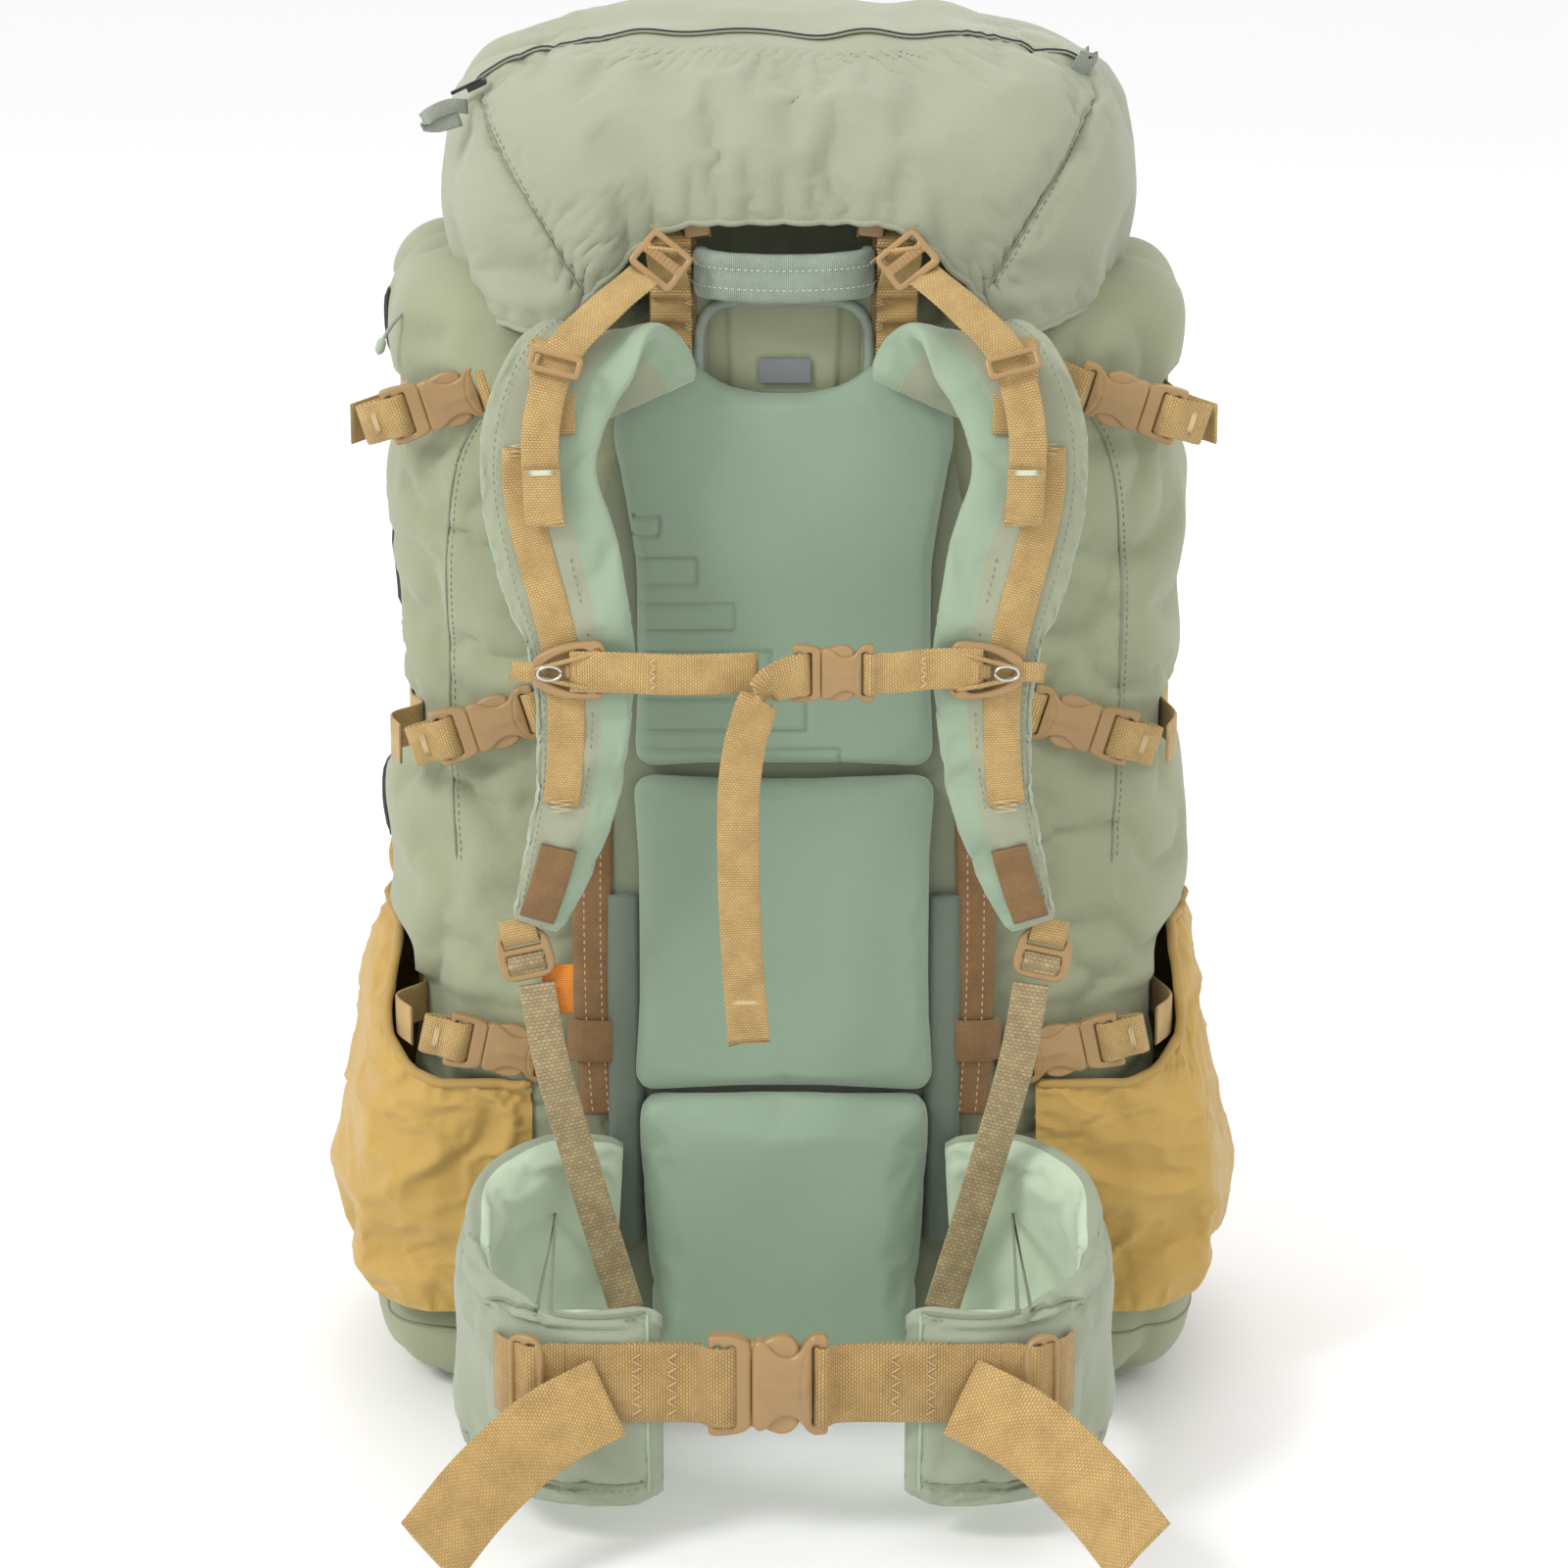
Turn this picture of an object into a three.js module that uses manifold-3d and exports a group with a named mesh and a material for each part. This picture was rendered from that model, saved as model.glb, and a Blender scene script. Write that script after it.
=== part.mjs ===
// A hunting backpack with a framed harness, in millimetres. +Z is up, the harness and hip belt face -Y, and
// the origin is on the ground below the frame, midway between the two sides.
import * as THREE from "three";
import { mergeVertices } from "three/addons/utils/BufferGeometryUtils.js";
import Module from "manifold-3d";

const wasm = await Module();
wasm.setup();

// ---- driving dimensions ----
const WALL = 4; // sewn fabric with its lining and filling
const BAG_SQUARENESS = 4; // superellipse power of the bag's plan
const BAG_SIDES = 32;
// Each level of the bag: height, half width, front and back.
const BAG_LEVELS = [
  { z: 0, half: 205, front: 42, back: 248 },
  { z: 8, half: 238, front: 26, back: 266 },
  { z: 30, half: 256, front: 16, back: 278 },
  { z: 62, half: 250, front: 12, back: 284 },
  { z: 110, half: 236, front: 10, back: 287 },
  { z: 300, half: 232, front: 10, back: 288 },
  { z: 560, half: 232, front: 10, back: 288 },
  { z: 655, half: 232, front: 11, back: 286 },
  { z: 688, half: 224, front: 18, back: 276 },
  { z: 706, half: 200, front: 32, back: 262 },
  { z: 722, half: 174, front: 44, back: 250 },
  { z: 744, half: 158, front: 52, back: 240 },
  { z: 764, half: 150, front: 56, back: 236 },
];
const LID_SQUARENESS = 3.2;
const LID_OUTSIDE = [
  { z: 732, half: 190, front: -16, back: 288 },
  { z: 765, half: 197, front: -20, back: 292 },
  { z: 800, half: 190, front: -16, back: 286 },
  { z: 832, half: 181, front: 2, back: 268 },
  { z: 855, half: 138, front: 34, back: 232 },
  { z: 868, half: 104, front: 64, back: 196 },
  { z: 875, half: 58, front: 98, back: 160 },
];
const LID_INSIDE = [
  { z: 732, half: 182, front: -8, back: 280 },
  { z: 765, half: 188, front: -11, back: 283 },
  { z: 784, half: 176, front: 4, back: 268 },
];
const LID_HINGE = { y: -16, z: 771 };
const LID_ARCH = { foot: 118, footZ: 722, knee: 88, kneeZ: 750, crown: 60 };

// Each level of a side pocket: height, reach to the side, front and back.
const POCKET_SIDES = 24;
const POCKET_HIDDEN = 130; // how near the middle the side of the pocket's form that the bag hides is
const POCKET_LEVELS = [
  { z: 66, out: 272, front: 2, back: 262 },
  { z: 84, out: 284, front: 0, back: 268 },
  { z: 150, out: 280, front: 0, back: 270 },
  { z: 215, out: 270, front: 1, back: 266 },
  { z: 330, out: 246, front: 4, back: 250 },
];
const POCKET_TOP_SLOPE = 30; // degrees that the pocket's open edge rises towards the back

const FRAME_SHEET = { front: -4, thick: 3.6, bottom: 30, top: 744 };
const ANCHOR = { x: 67, half: 12, bottom: 698, top: 756, front: -8, thick: 3.2 };
const STAY = { width: 18, thick: 3, top: 758, bottom: 34, topX: 62, bottomX: 84 };
const YOKE = { front: -17, thick: 12.6, bottom: 428, top: 694, notchZ: 665 };
const BACK_PAD = { half: 90, bottom: 224, top: 426, thick: 19 };
const LUMBAR = { topHalf: 86, bottomHalf: 77, bottom: 40, top: 220, thick: 34 };
const HANDLE = { z: 738, wide: 30, thick: 12 };
const HANDLE_PATH = [[-46, -6], [-44, -15], [-33, -27], [0, -30], [33, -27], [44, -15], [46, -6]];

const WEB = 25; // narrow webbing
const WEB_THICK = 1.6;
const SHOULDER_WEB = 22; // webbing of the load lifters and lower straps
const WIDE_WEB = 50; // hip belt webbing
const WIDE_WEB_THICK = 2;

const STRAP_THICK = 15;
// Shoulder strap, left side: centre line and width from the yoke over the shoulder to the adjuster.
const STRAP_STATIONS = [
  { at: [-78, -26, 664], width: 64 },
  { at: [-91, -33, 688], width: 66 },
  { at: [-106, -45, 700], width: 68 },
  { at: [-125, -62, 690], width: 70 },
  { at: [-139, -73, 664], width: 70 },
  { at: [-143, -80, 630], width: 70 },
  { at: [-133, -84, 580], width: 72 },
  { at: [-122, -85, 530], width: 64 },
  { at: [-120, -85, 490], width: 57 },
  { at: [-124, -81, 440], width: 50 },
  { at: [-136, -73, 390], width: 42 },
  { at: [-150, -65, 348], width: 30 },
];

const LIFTER_PATH = [
  [-82, -42, 742], [-104, -62, 727], [-130, -83, 702], [-141, -97, 664], [-139, -100, 608],
];
const LIFTER_BUCKLE = { at: [70, -37, 750], lean: 33 };
const LOWER_PATH = [[-150, -64, 310], [-142, -62, 260], [-122, -56, 180], [-98, -50, 92]];
const ADJUSTER = { at: [157, -62, 328], lean: 12 };

const BELT_THICK = 20;
// Hip belt wing, left side: centre line in plan, middle height and depth of the pad.
const BELT_STATIONS = [
  { at: [-104, -24, 128], tall: 132 },
  { at: [-140, -32, 130], tall: 144 },
  { at: [-172, -58, 122], tall: 142 },
  { at: [-184, -100, 108], tall: 136 },
  { at: [-181, -145, 97], tall: 132 },
  { at: [-158, -181, 91], tall: 130 },
  { at: [-118, -193, 90], tall: 130 },
  { at: [-72, -193, 90], tall: 124 },
];
const BELT_JUNCTION = { x: -19, y: -208, z: 110 };
const BELT_LOCK = { x: 152, y: -206, turn: 24 };
const BELT_TAIL = [[-104, -214, 104], [-141, -232, 90], [-177, -264, 68], [-206, -303, 44]];

// Side-release buckles. The socket is as long as socket, the plug's body as base, its prongs as reach.
const BUCKLES = {
  belt: {
    web: 50, half: 32, thick: 17, socket: 45, base: 26,
    reach: 26, prong: 8, prongThick: 5, slack: 2.2,
  },
  side: {
    web: 25, half: 17.5, thick: 10, socket: 42, base: 24,
    reach: 16, prong: 5, prongThick: 4, slack: 0.8,
  },
  chest: {
    web: 25, half: 17.5, thick: 10, socket: 31, base: 17,
    reach: 16, prong: 5, prongThick: 4, slack: 0.8,
  },
  lid: {
    web: 25, half: 17.5, thick: 10, socket: 31, base: 17,
    reach: 14, prong: 5, prongThick: 3.4, slack: 1.6,
  },
};

const STERNUM = { z: 517, y: -104, left: -126, right: 119, buckleX: 22 };
const STERNUM_TAIL = [[-4, -113, 500], [-14, -112, 470], [-18, -106, 400], [-15, -98, 340], [-12, -92, 284]];

// Side compression buckles: height, distance from the middle, depth, and how far they lean.
const SIDE_LEVELS = [
  { name: "upper", z: 650, x: 216, y: 14, lean: 17, start: [243, 30], side: 239 },
  { name: "mid", z: 451, x: 190, y: 4, lean: 17, start: [237, 13], side: 239 },
  { name: "lower", z: 246, x: 186, y: 4, lean: -12, start: [234, 5], side: 269 },
];
const RELEASE_TRAVEL = 18;

const LID_ZIP = { z: 440, radius: 437, y: 66, angle: 25 }; // an arc over the lid, seen from the front
const SIDE_ZIP = { x: -234, y: 128, z: 664 };
const LID_BUCKLE = { y: 299, z: 755 };

// ---- materials ----
const fabric = (color) =>
  new THREE.MeshStandardMaterial({ color, roughness: 0.8, metalness: 0 });
const material = {
  shell: fabric(0xa5ab90),
  pad: fabric(0x93a68f),
  strap: fabric(0xa9ad98),
  pocket: fabric(0xbf9f62),
  webbing: fabric(0xb5935f),
  darkWebbing: fabric(0x97794d),
  hardware: new THREE.MeshStandardMaterial({ color: 0xad8c5c, roughness: 0.45, metalness: 0 }),
  frame: new THREE.MeshStandardMaterial({ color: 0x2b2c2b, roughness: 0.5, metalness: 0 }),
  stay: new THREE.MeshStandardMaterial({ color: 0xb8babc, roughness: 0.35, metalness: 1 }),
  handle: fabric(0x8c9c90),
};

const backpack = new THREE.Group();

function add(name, geometry, look) {
  const mesh = new THREE.Mesh(geometry, look);
  mesh.name = name;
  backpack.add(mesh);
  return mesh;
}

// ---- shape helpers ----

// A closed skin over a row of rings with equal point counts, with a fan over each end.
function loft(rings) {
  const count = rings[0].length;
  const points = rings.flat();
  const faces = [];
  for (let r = 0; r + 1 < rings.length; r++)
    for (let i = 0; i < count; i++) {
      const a = r * count + i;
      const b = r * count + ((i + 1) % count);
      faces.push(a, b, b + count, a, b + count, a + count);
    }
  for (const [ring, first] of [[rings[0], 0], [rings.at(-1), points.length - count]]) {
    const middle = points.length;
    const sum = ring.reduce((total, p) => total.add(p), new THREE.Vector3());
    points.push(sum.divideScalar(count));
    for (let i = 0; i < count; i++) {
      const a = first + i;
      const b = first + ((i + 1) % count);
      faces.push(...(first === 0 ? [middle, b, a] : [middle, a, b]));
    }
  }
  return facingOut(points, faces);
}

// Indexed geometry from points and triangles, turned so that its faces point out.
function facingOut(points, faces) {
  let volume = 0;
  for (let i = 0; i < faces.length; i += 3) {
    const [a, b, c] = [points[faces[i]], points[faces[i + 1]], points[faces[i + 2]]];
    volume += a.dot(b.clone().cross(c));
  }
  const order = volume < 0 ? faces.slice().reverse() : faces;
  const geometry = new THREE.BufferGeometry().setFromPoints(points);
  geometry.setIndex(order);
  return geometry;
}

// Level outline of a bag-like form: a superellipse between a front, a back and two sides.
function levelRing({ z, half, front, back }, power, sides) {
  const middle = (front + back) / 2;
  const depth = (back - front) / 2;
  const bend = (value) => Math.sign(value) * Math.abs(value) ** (2 / power);
  return Array.from({ length: sides }, (_, i) => {
    const angle = ((i + 0.5) / sides) * 2 * Math.PI;
    return new THREE.Vector3(
      half * bend(Math.cos(angle)),
      middle + depth * bend(Math.sin(angle)),
      z,
    );
  });
}

const inset = ({ z, half, front, back }, by) => ({
  z,
  half: half - by,
  front: front + by,
  back: back - by,
});

// A band along a curve. Each station gives its width; across is the direction of that width.
function band(points, widths, thick, across, corners = 4) {
  const curve = new THREE.CatmullRomCurve3(points, false, "centripetal");
  const steps = Math.round((points.length - 1) * (corners > 4 ? 2 : 3));
  const power = corners > 4 ? 3.5 : 2;
  const rings = [];
  for (let s = 0; s <= steps; s++) {
    const t = s / steps;
    const centre = curve.getPoint(t);
    const along = curve.getTangent(t);
    const wide = across.clone().addScaledVector(along, -across.dot(along)).normalize();
    const deep = new THREE.Vector3().crossVectors(along, wide);
    const place = t * (points.length - 1);
    const station = Math.min(Math.floor(place), points.length - 2);
    const width = THREE.MathUtils.lerp(widths[station], widths[station + 1], place - station);
    rings.push(
      Array.from({ length: corners }, (_, i) => {
        const angle = ((i + 0.5) / corners) * 2 * Math.PI;
        const u = Math.cos(angle);
        const v = Math.sin(angle);
        const rounded = (Math.abs(u) ** power + Math.abs(v) ** power) ** (-1 / power);
        const reach = corners > 4 ? rounded : Math.SQRT2;
        return centre
          .clone()
          .addScaledVector(wide, (u * reach * width) / 2)
          .addScaledVector(deep, (v * reach * thick) / 2);
      }),
    );
  }
  return loft(rings);
}

const toPoints = (list) => list.map((p) => new THREE.Vector3(...p));

// Webbing of one width along a list of places.
const webbing = (places, width, thick, across) =>
  band(toPoints(places), places.map(() => width), thick, across);

const mirrored = (places) => places.map(([x, y, z]) => [-x, y, z]);
const ACROSS_X = new THREE.Vector3(1, 0, 0);
const ACROSS_Z = new THREE.Vector3(0, 0, 1);

function roundedRectangle(left, bottom, right, top, radius) {
  const shape = new THREE.Shape();
  shape.moveTo(left + radius, bottom);
  shape.absarc(right - radius, bottom + radius, radius, -Math.PI / 2, 0);
  shape.absarc(right - radius, top - radius, radius, 0, Math.PI / 2);
  shape.absarc(left + radius, top - radius, radius, Math.PI / 2, Math.PI);
  shape.absarc(left + radius, bottom + radius, radius, Math.PI, (3 * Math.PI) / 2);
  return shape;
}

// A plate standing in the XZ plane: shape y becomes height, and it fills front to front + thick.
function standingPlate(shape, front, thick, bevel = 0) {
  const geometry = new THREE.ExtrudeGeometry(shape, {
    depth: thick - 2 * bevel,
    bevelEnabled: bevel > 0,
    bevelSize: bevel,
    bevelThickness: bevel,
    bevelOffset: -bevel,
    bevelSegments: 2,
    curveSegments: 4,
  });
  geometry.rotateX(Math.PI / 2);
  geometry.translate(0, front + thick - bevel, 0);
  return geometry;
}

// ---- solid helpers, for cuts and joins ----
function solidOf(geometry) {
  const bare = geometry.index ? geometry.toNonIndexed() : geometry.clone();
  bare.deleteAttribute("normal");
  bare.deleteAttribute("uv");
  const merged = mergeVertices(bare, 1e-3);
  return new wasm.Manifold(
    new wasm.Mesh({
      numProp: 3,
      vertProperties: merged.attributes.position.array,
      triVerts: new Uint32Array(merged.index.array),
    }),
  );
}

function geometryOf(solid) {
  const mesh = solid.getMesh();
  const geometry = new THREE.BufferGeometry();
  geometry.setAttribute("position", new THREE.BufferAttribute(mesh.vertProperties, 3));
  geometry.setIndex(new THREE.BufferAttribute(mesh.triVerts, 1));
  return geometry;
}

// A box from its lowest and highest corners.
function block([x0, y0, z0], [x1, y1, z1]) {
  const geometry = new THREE.BoxGeometry(x1 - x0, y1 - y0, z1 - z0);
  geometry.translate((x0 + x1) / 2, (y0 + y1) / 2, (z0 + z1) / 2);
  return solidOf(geometry);
}

const joined = (solids) => solids.reduce((all, one) => all.add(one));
const cut = (solid, holes) => holes.reduce((rest, hole) => rest.subtract(hole), solid);

// ---- hardware, each made lying along X with the strap's width along Z ----

// Side-release buckle for one webbing width. The plug enters the socket from -X, meeting it at x = 0.
function buckleSocket(s) {
  const { web } = s;
  const outline = new THREE.Shape();
  const waist = s.half * 0.8;
  outline.moveTo(0, -s.half);
  outline.quadraticCurveTo(s.socket * 0.45, -waist + 1, s.socket * 0.72, -s.half);
  outline.lineTo(s.socket, -s.half);
  outline.lineTo(s.socket, s.half);
  outline.lineTo(s.socket * 0.72, s.half);
  outline.quadraticCurveTo(s.socket * 0.45, waist - 1, 0, s.half);
  const body = solidOf(standingPlate(outline, -s.thick / 2, s.thick));
  const high = s.prongThick / 2 + s.slack;
  const cavity = block([-1, -high, -web / 2 - 1], [s.reach + 1.5, high, web / 2 + 1]);
  const window = (side) => {
    const inner = side * (web / 2 - 1);
    const outer = side * (s.half + 2);
    return block(
      [s.reach * 0.4, -high, Math.min(inner, outer)],
      [s.reach + 1.5, high, Math.max(inner, outer)],
    );
  };
  const slot = block([s.socket - 9, -s.thick, -web / 2], [s.socket - 4, s.thick, web / 2]);
  return geometryOf(cut(body, [cavity, window(-1), window(1), slot]));
}

function bucklePlug(s) {
  const { web } = s;
  const gap = 0.4;
  const base = cut(
    block([-s.base, -s.thick / 2 + 0.6, -s.half], [-gap, s.thick / 2 - 0.6, s.half]),
    [
      block([-s.base + 3, -s.thick, -web / 2], [-s.base + 6, s.thick, web / 2]),
      block([-s.base + 9, -s.thick, -web / 2], [-s.base + 12, s.thick, web / 2]),
    ],
  );
  const arm = (side) => {
    const outer = side * (web / 2);
    const inner = side * (web / 2 - s.prong);
    return block(
      [-1, -s.prongThick / 2, Math.min(inner, outer)],
      [s.reach, s.prongThick / 2, Math.max(inner, outer)],
    );
  };
  const guide = block([-1, -s.prongThick / 2, -2], [s.reach * 0.8, s.prongThick / 2, 2]);
  return geometryOf(joined([base, arm(-1), arm(1), guide]));
}

// A flat adjuster with a slot each side of its middle bar.
function ladderLock(web, length, thick) {
  const half = web / 2 + 4;
  const shape = roundedRectangle(-length / 2, -half, length / 2, half, 3);
  for (const side of [-1, 1]) {
    const middle = (side * length) / 4;
    shape.holes.push(roundedRectangle(middle - 2.4, -web / 2, middle + 2.4, web / 2, 1));
  }
  return standingPlate(shape, -thick / 2, thick);
}

// Zip slider with its moulded pull hanging down.
function zipSlider(pull) {
  return geometryOf(
    joined([
      block([-5, -1.6, -6], [5, 1.6, 6]),
      block([-2.2, -2.8, -pull], [2.2, -1, 4]),
    ]),
  );
}

const radians = THREE.MathUtils.degToRad;
const SIDES = [["left", 1], ["right", -1]]; // the second number keeps or mirrors the left side

// ---- bag ----
function makeBag() {
  const ring = (level) => levelRing(level, BAG_SQUARENESS, BAG_SIDES);
  const outside = BAG_LEVELS.map(ring);
  const inside = BAG_LEVELS.map((level) => inset(level, WALL));
  inside[0].z += WALL;
  inside[1].z += 1;
  add("bag_body", loft([...outside, ...inside.reverse().map(ring)]), material.shell);
}

// The whole outer form of the bag, filled and grown, for cutting what lies against it.
function bagForm(grow) {
  const rings = BAG_LEVELS.map((level) => levelRing(inset(level, -grow), BAG_SQUARENESS, BAG_SIDES));
  return solidOf(loft(rings));
}

// Side pocket: a wall standing off the bag, open along a top edge that drops towards the front.
function makeSidePockets() {
  const ringAt = ({ z, out, front, back }, by) => {
    const middle = new THREE.Vector3(-(out + POCKET_HIDDEN) / 2, 0, 0);
    const level = { z, half: (out - POCKET_HIDDEN) / 2, front, back };
    return levelRing(inset(level, by), 3.4, POCKET_SIDES).map((p) => p.add(middle));
  };
  const outside = solidOf(loft(POCKET_LEVELS.map((level) => ringAt(level, 0))));
  const insideLevels = POCKET_LEVELS.map((level) => ({ ...level }));
  insideLevels[0].z += WALL;
  insideLevels.at(-1).z += 1;
  const inside = solidOf(loft(insideLevels.map((level) => ringAt(level, WALL))));
  const slope = new THREE.BoxGeometry(400, 600, 200);
  slope.rotateX(radians(POCKET_TOP_SLOPE));
  slope.translate(-200, -50, 303);
  const trim = block([-POCKET_HIDDEN - 22, -10, 0], [0, 300, 400]);
  const wall = cut(outside, [inside, bagForm(0.5), solidOf(slope), trim]);
  const pieces = wall.decompose().sort((a, b) => b.volume() - a.volume());
  const left = geometryOf(pieces[0]);
  for (const [side, keep] of SIDES) {
    const made = left.clone();
    if (keep < 0) mirrorInX(made);
    add(`side_pocket_${side}`, made, material.pocket);
  }
}

function mirrorInX(geometry) {
  geometry.scale(-1, 1, 1);
  geometry.index.array.reverse();
}

// ---- frame and back panel ----
function makeFrame() {
  const sheet = new THREE.Shape();
  const { bottom, top } = FRAME_SHEET;
  sheet.moveTo(-92, bottom);
  sheet.lineTo(92, bottom);
  sheet.quadraticCurveTo(116, 200, 126, 380);
  sheet.quadraticCurveTo(128, 560, 82, 690);
  sheet.lineTo(74, top);
  sheet.lineTo(-74, top);
  sheet.lineTo(-82, 690);
  sheet.quadraticCurveTo(-128, 560, -126, 380);
  sheet.quadraticCurveTo(-116, 200, -92, bottom);
  sheet.holes.push(roundedRectangle(-46, 664, 46, 716, 14));
  add("frame_sheet", standingPlate(sheet, FRAME_SHEET.front, FRAME_SHEET.thick), material.frame);
  const lean = Math.atan2(STAY.bottomX - STAY.topX, STAY.top - STAY.bottom);
  for (const [side, keep] of SIDES) {
    const length = (STAY.top - STAY.bottom) / Math.cos(lean);
    const bar = roundedRectangle(-STAY.width / 2, -length / 2, STAY.width / 2, length / 2, 6);
    const stay = add(`stay_${side}`, standingPlate(bar, 0, STAY.thick), material.stay);
    stay.position.set((-keep * (STAY.topX + STAY.bottomX)) / 2, 0.4, (STAY.top + STAY.bottom) / 2);
    stay.rotation.y = keep * lean;
    const anchor = roundedRectangle(-ANCHOR.half, ANCHOR.bottom, ANCHOR.half, ANCHOR.top, 2);
    const plate = standingPlate(anchor, ANCHOR.front, ANCHOR.thick);
    add(`lifter_anchor_${side}`, plate, material.darkWebbing).position.x = -keep * ANCHOR.x;
  }
  const grip = toPoints(HANDLE_PATH.map(([x, y]) => [x, y, HANDLE.z]));
  const widths = HANDLE_PATH.map(() => HANDLE.wide);
  add("haul_handle", band(grip, widths, HANDLE.thick, ACROSS_Z, 12), material.handle);
}

function makeBackPanel() {
  const yoke = new THREE.Shape();
  yoke.moveTo(-92, YOKE.bottom);
  yoke.lineTo(92, YOKE.bottom);
  yoke.quadraticCurveTo(92, 560, 116, 640);
  yoke.lineTo(58, YOKE.top - 8);
  yoke.quadraticCurveTo(34, YOKE.notchZ, 0, YOKE.notchZ);
  yoke.quadraticCurveTo(-34, YOKE.notchZ, -58, YOKE.top - 8);
  yoke.lineTo(-116, 640);
  yoke.quadraticCurveTo(-92, 560, -92, YOKE.bottom);
  add("yoke_panel", standingPlate(yoke, YOKE.front, YOKE.thick, 2), material.pad);

  const pad = roundedRectangle(-BACK_PAD.half, BACK_PAD.bottom, BACK_PAD.half, BACK_PAD.top, 10);
  const back = FRAME_SHEET.front - 0.6;
  add("back_pad", standingPlate(pad, back - BACK_PAD.thick, BACK_PAD.thick, 6), material.pad);

  const lumbar = new THREE.Shape();
  lumbar.moveTo(-LUMBAR.bottomHalf, LUMBAR.bottom);
  lumbar.lineTo(LUMBAR.bottomHalf, LUMBAR.bottom);
  lumbar.lineTo(LUMBAR.topHalf, LUMBAR.top);
  lumbar.lineTo(-LUMBAR.topHalf, LUMBAR.top);
  add("lumbar_pad", standingPlate(lumbar, back - LUMBAR.thick, LUMBAR.thick, 8), material.pad);
}

// ---- shoulder harness ----
function makeShoulderHarness() {
  for (const [side, keep] of SIDES) {
    const flip = (places) => (keep < 0 ? mirrored(places) : places);
    const path = toPoints(flip(STRAP_STATIONS.map((s) => s.at)));
    const widths = STRAP_STATIONS.map((s) => s.width);
    add(`shoulder_strap_${side}`, band(path, widths, STRAP_THICK, ACROSS_X, 12), material.strap);

    const lift = webbing(flip(LIFTER_PATH), SHOULDER_WEB, WEB_THICK, ACROSS_X);
    add(`load_lifter_${side}`, lift, material.webbing);
    const lock = add(`lifter_buckle_${side}`, ladderLock(SHOULDER_WEB, 20, 6), material.hardware);
    const [lockX, lockY, lockZ] = LIFTER_BUCKLE.at;
    lock.position.set(-keep * lockX, lockY, lockZ);
    lock.rotation.y = -keep * radians(LIFTER_BUCKLE.lean);

    const adjuster = add(`strap_adjuster_${side}`, ladderLock(WEB, 26, 7), material.hardware);
    const [adjusterX, adjusterY, adjusterZ] = ADJUSTER.at;
    adjuster.position.set(-keep * adjusterX, adjusterY, adjusterZ);
    adjuster.rotation.y = Math.PI / 2 + keep * radians(ADJUSTER.lean);

    const lower = webbing(flip(LOWER_PATH), SHOULDER_WEB, WEB_THICK, ACROSS_X);
    add(`lower_strap_${side}`, lower, material.webbing);
  }
}

// ---- sternum strap ----
function makeSternumStrap() {
  const { z, y, left, right, buckleX } = STERNUM;
  const size = BUCKLES.chest;
  const clip = (side, x) => {
    const shape = roundedRectangle(-20, -19, 20, 19, 4);
    shape.holes.push(roundedRectangle(-13, -5, 9, 5, 2));
    shape.holes.push(roundedRectangle(13, -WEB / 2, 16.5, WEB / 2, 1));
    const slider = add(`sternum_slider_${side}`, standingPlate(shape, -3, 6), material.hardware);
    slider.position.set(x, y + 4, z);
    if (side === "right") slider.rotation.y = Math.PI;
  };
  clip("left", left);
  clip("right", right);
  const plugEnd = buckleX - size.base - RELEASE_TRAVEL;
  const leftWeb = [[left + 24, y + 2, z], [(left + plugEnd) / 2, y, z], [plugEnd - 2, y, z]];
  const rightWeb = [[buckleX + size.socket + 1, y, z], [80, y, z], [right - 24, y + 2, z]];
  add("sternum_webbing_left", webbing(leftWeb, WEB, WEB_THICK, ACROSS_Z), material.webbing);
  add("sternum_webbing_right", webbing(rightWeb, WEB, WEB_THICK, ACROSS_Z), material.webbing);
  add("sternum_plug", bucklePlug(size), material.hardware).position.set(buckleX, y, z);
  add("sternum_socket", buckleSocket(size), material.hardware).position.set(buckleX, y, z);
  add("sternum_tail", webbing(STERNUM_TAIL, WEB, WEB_THICK, ACROSS_X), material.webbing);
}

// ---- hip belt ----
function makeHipBelt() {
  const { x, y, z } = BELT_JUNCTION;
  const size = BUCKLES.belt;
  for (const [side, keep] of SIDES) {
    const flip = (places) => (keep < 0 ? mirrored(places) : places);
    const path = toPoints(flip(BELT_STATIONS.map((s) => s.at)));
    const heights = BELT_STATIONS.map((s) => s.tall);
    add(`belt_wing_${side}`, band(path, heights, BELT_THICK, ACROSS_Z, 12), material.pad);

    // The plug sits on the left run and the socket on the right one, so the runs differ in length.
    const near = keep > 0 ? x - size.base - 1 : -(x + size.socket + 1);
    const run = [[near, y, z], [(near - 150) / 2, y, z], [-138, y + 2, z]];
    const front = webbing(flip(run), WIDE_WEB, WIDE_WEB_THICK, ACROSS_Z);
    add(`belt_webbing_${side}`, front, material.webbing);

    const across = new THREE.Vector3(-keep * 0.55, 0.1, 0.84);
    const tail = webbing(flip(BELT_TAIL), WIDE_WEB, WIDE_WEB_THICK, across);
    add(`belt_tail_${side}`, tail, material.webbing);

    const lock = add(`belt_ladder_${side}`, ladderLock(WIDE_WEB, 22, 6), material.hardware);
    lock.position.set(-keep * BELT_LOCK.x, BELT_LOCK.y, z);
    lock.rotation.z = -keep * radians(BELT_LOCK.turn);
  }
  add("belt_plug", bucklePlug(size), material.hardware).position.set(x, y, z);
  add("belt_socket", buckleSocket(size), material.hardware).position.set(x, y, z);
}

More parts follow.
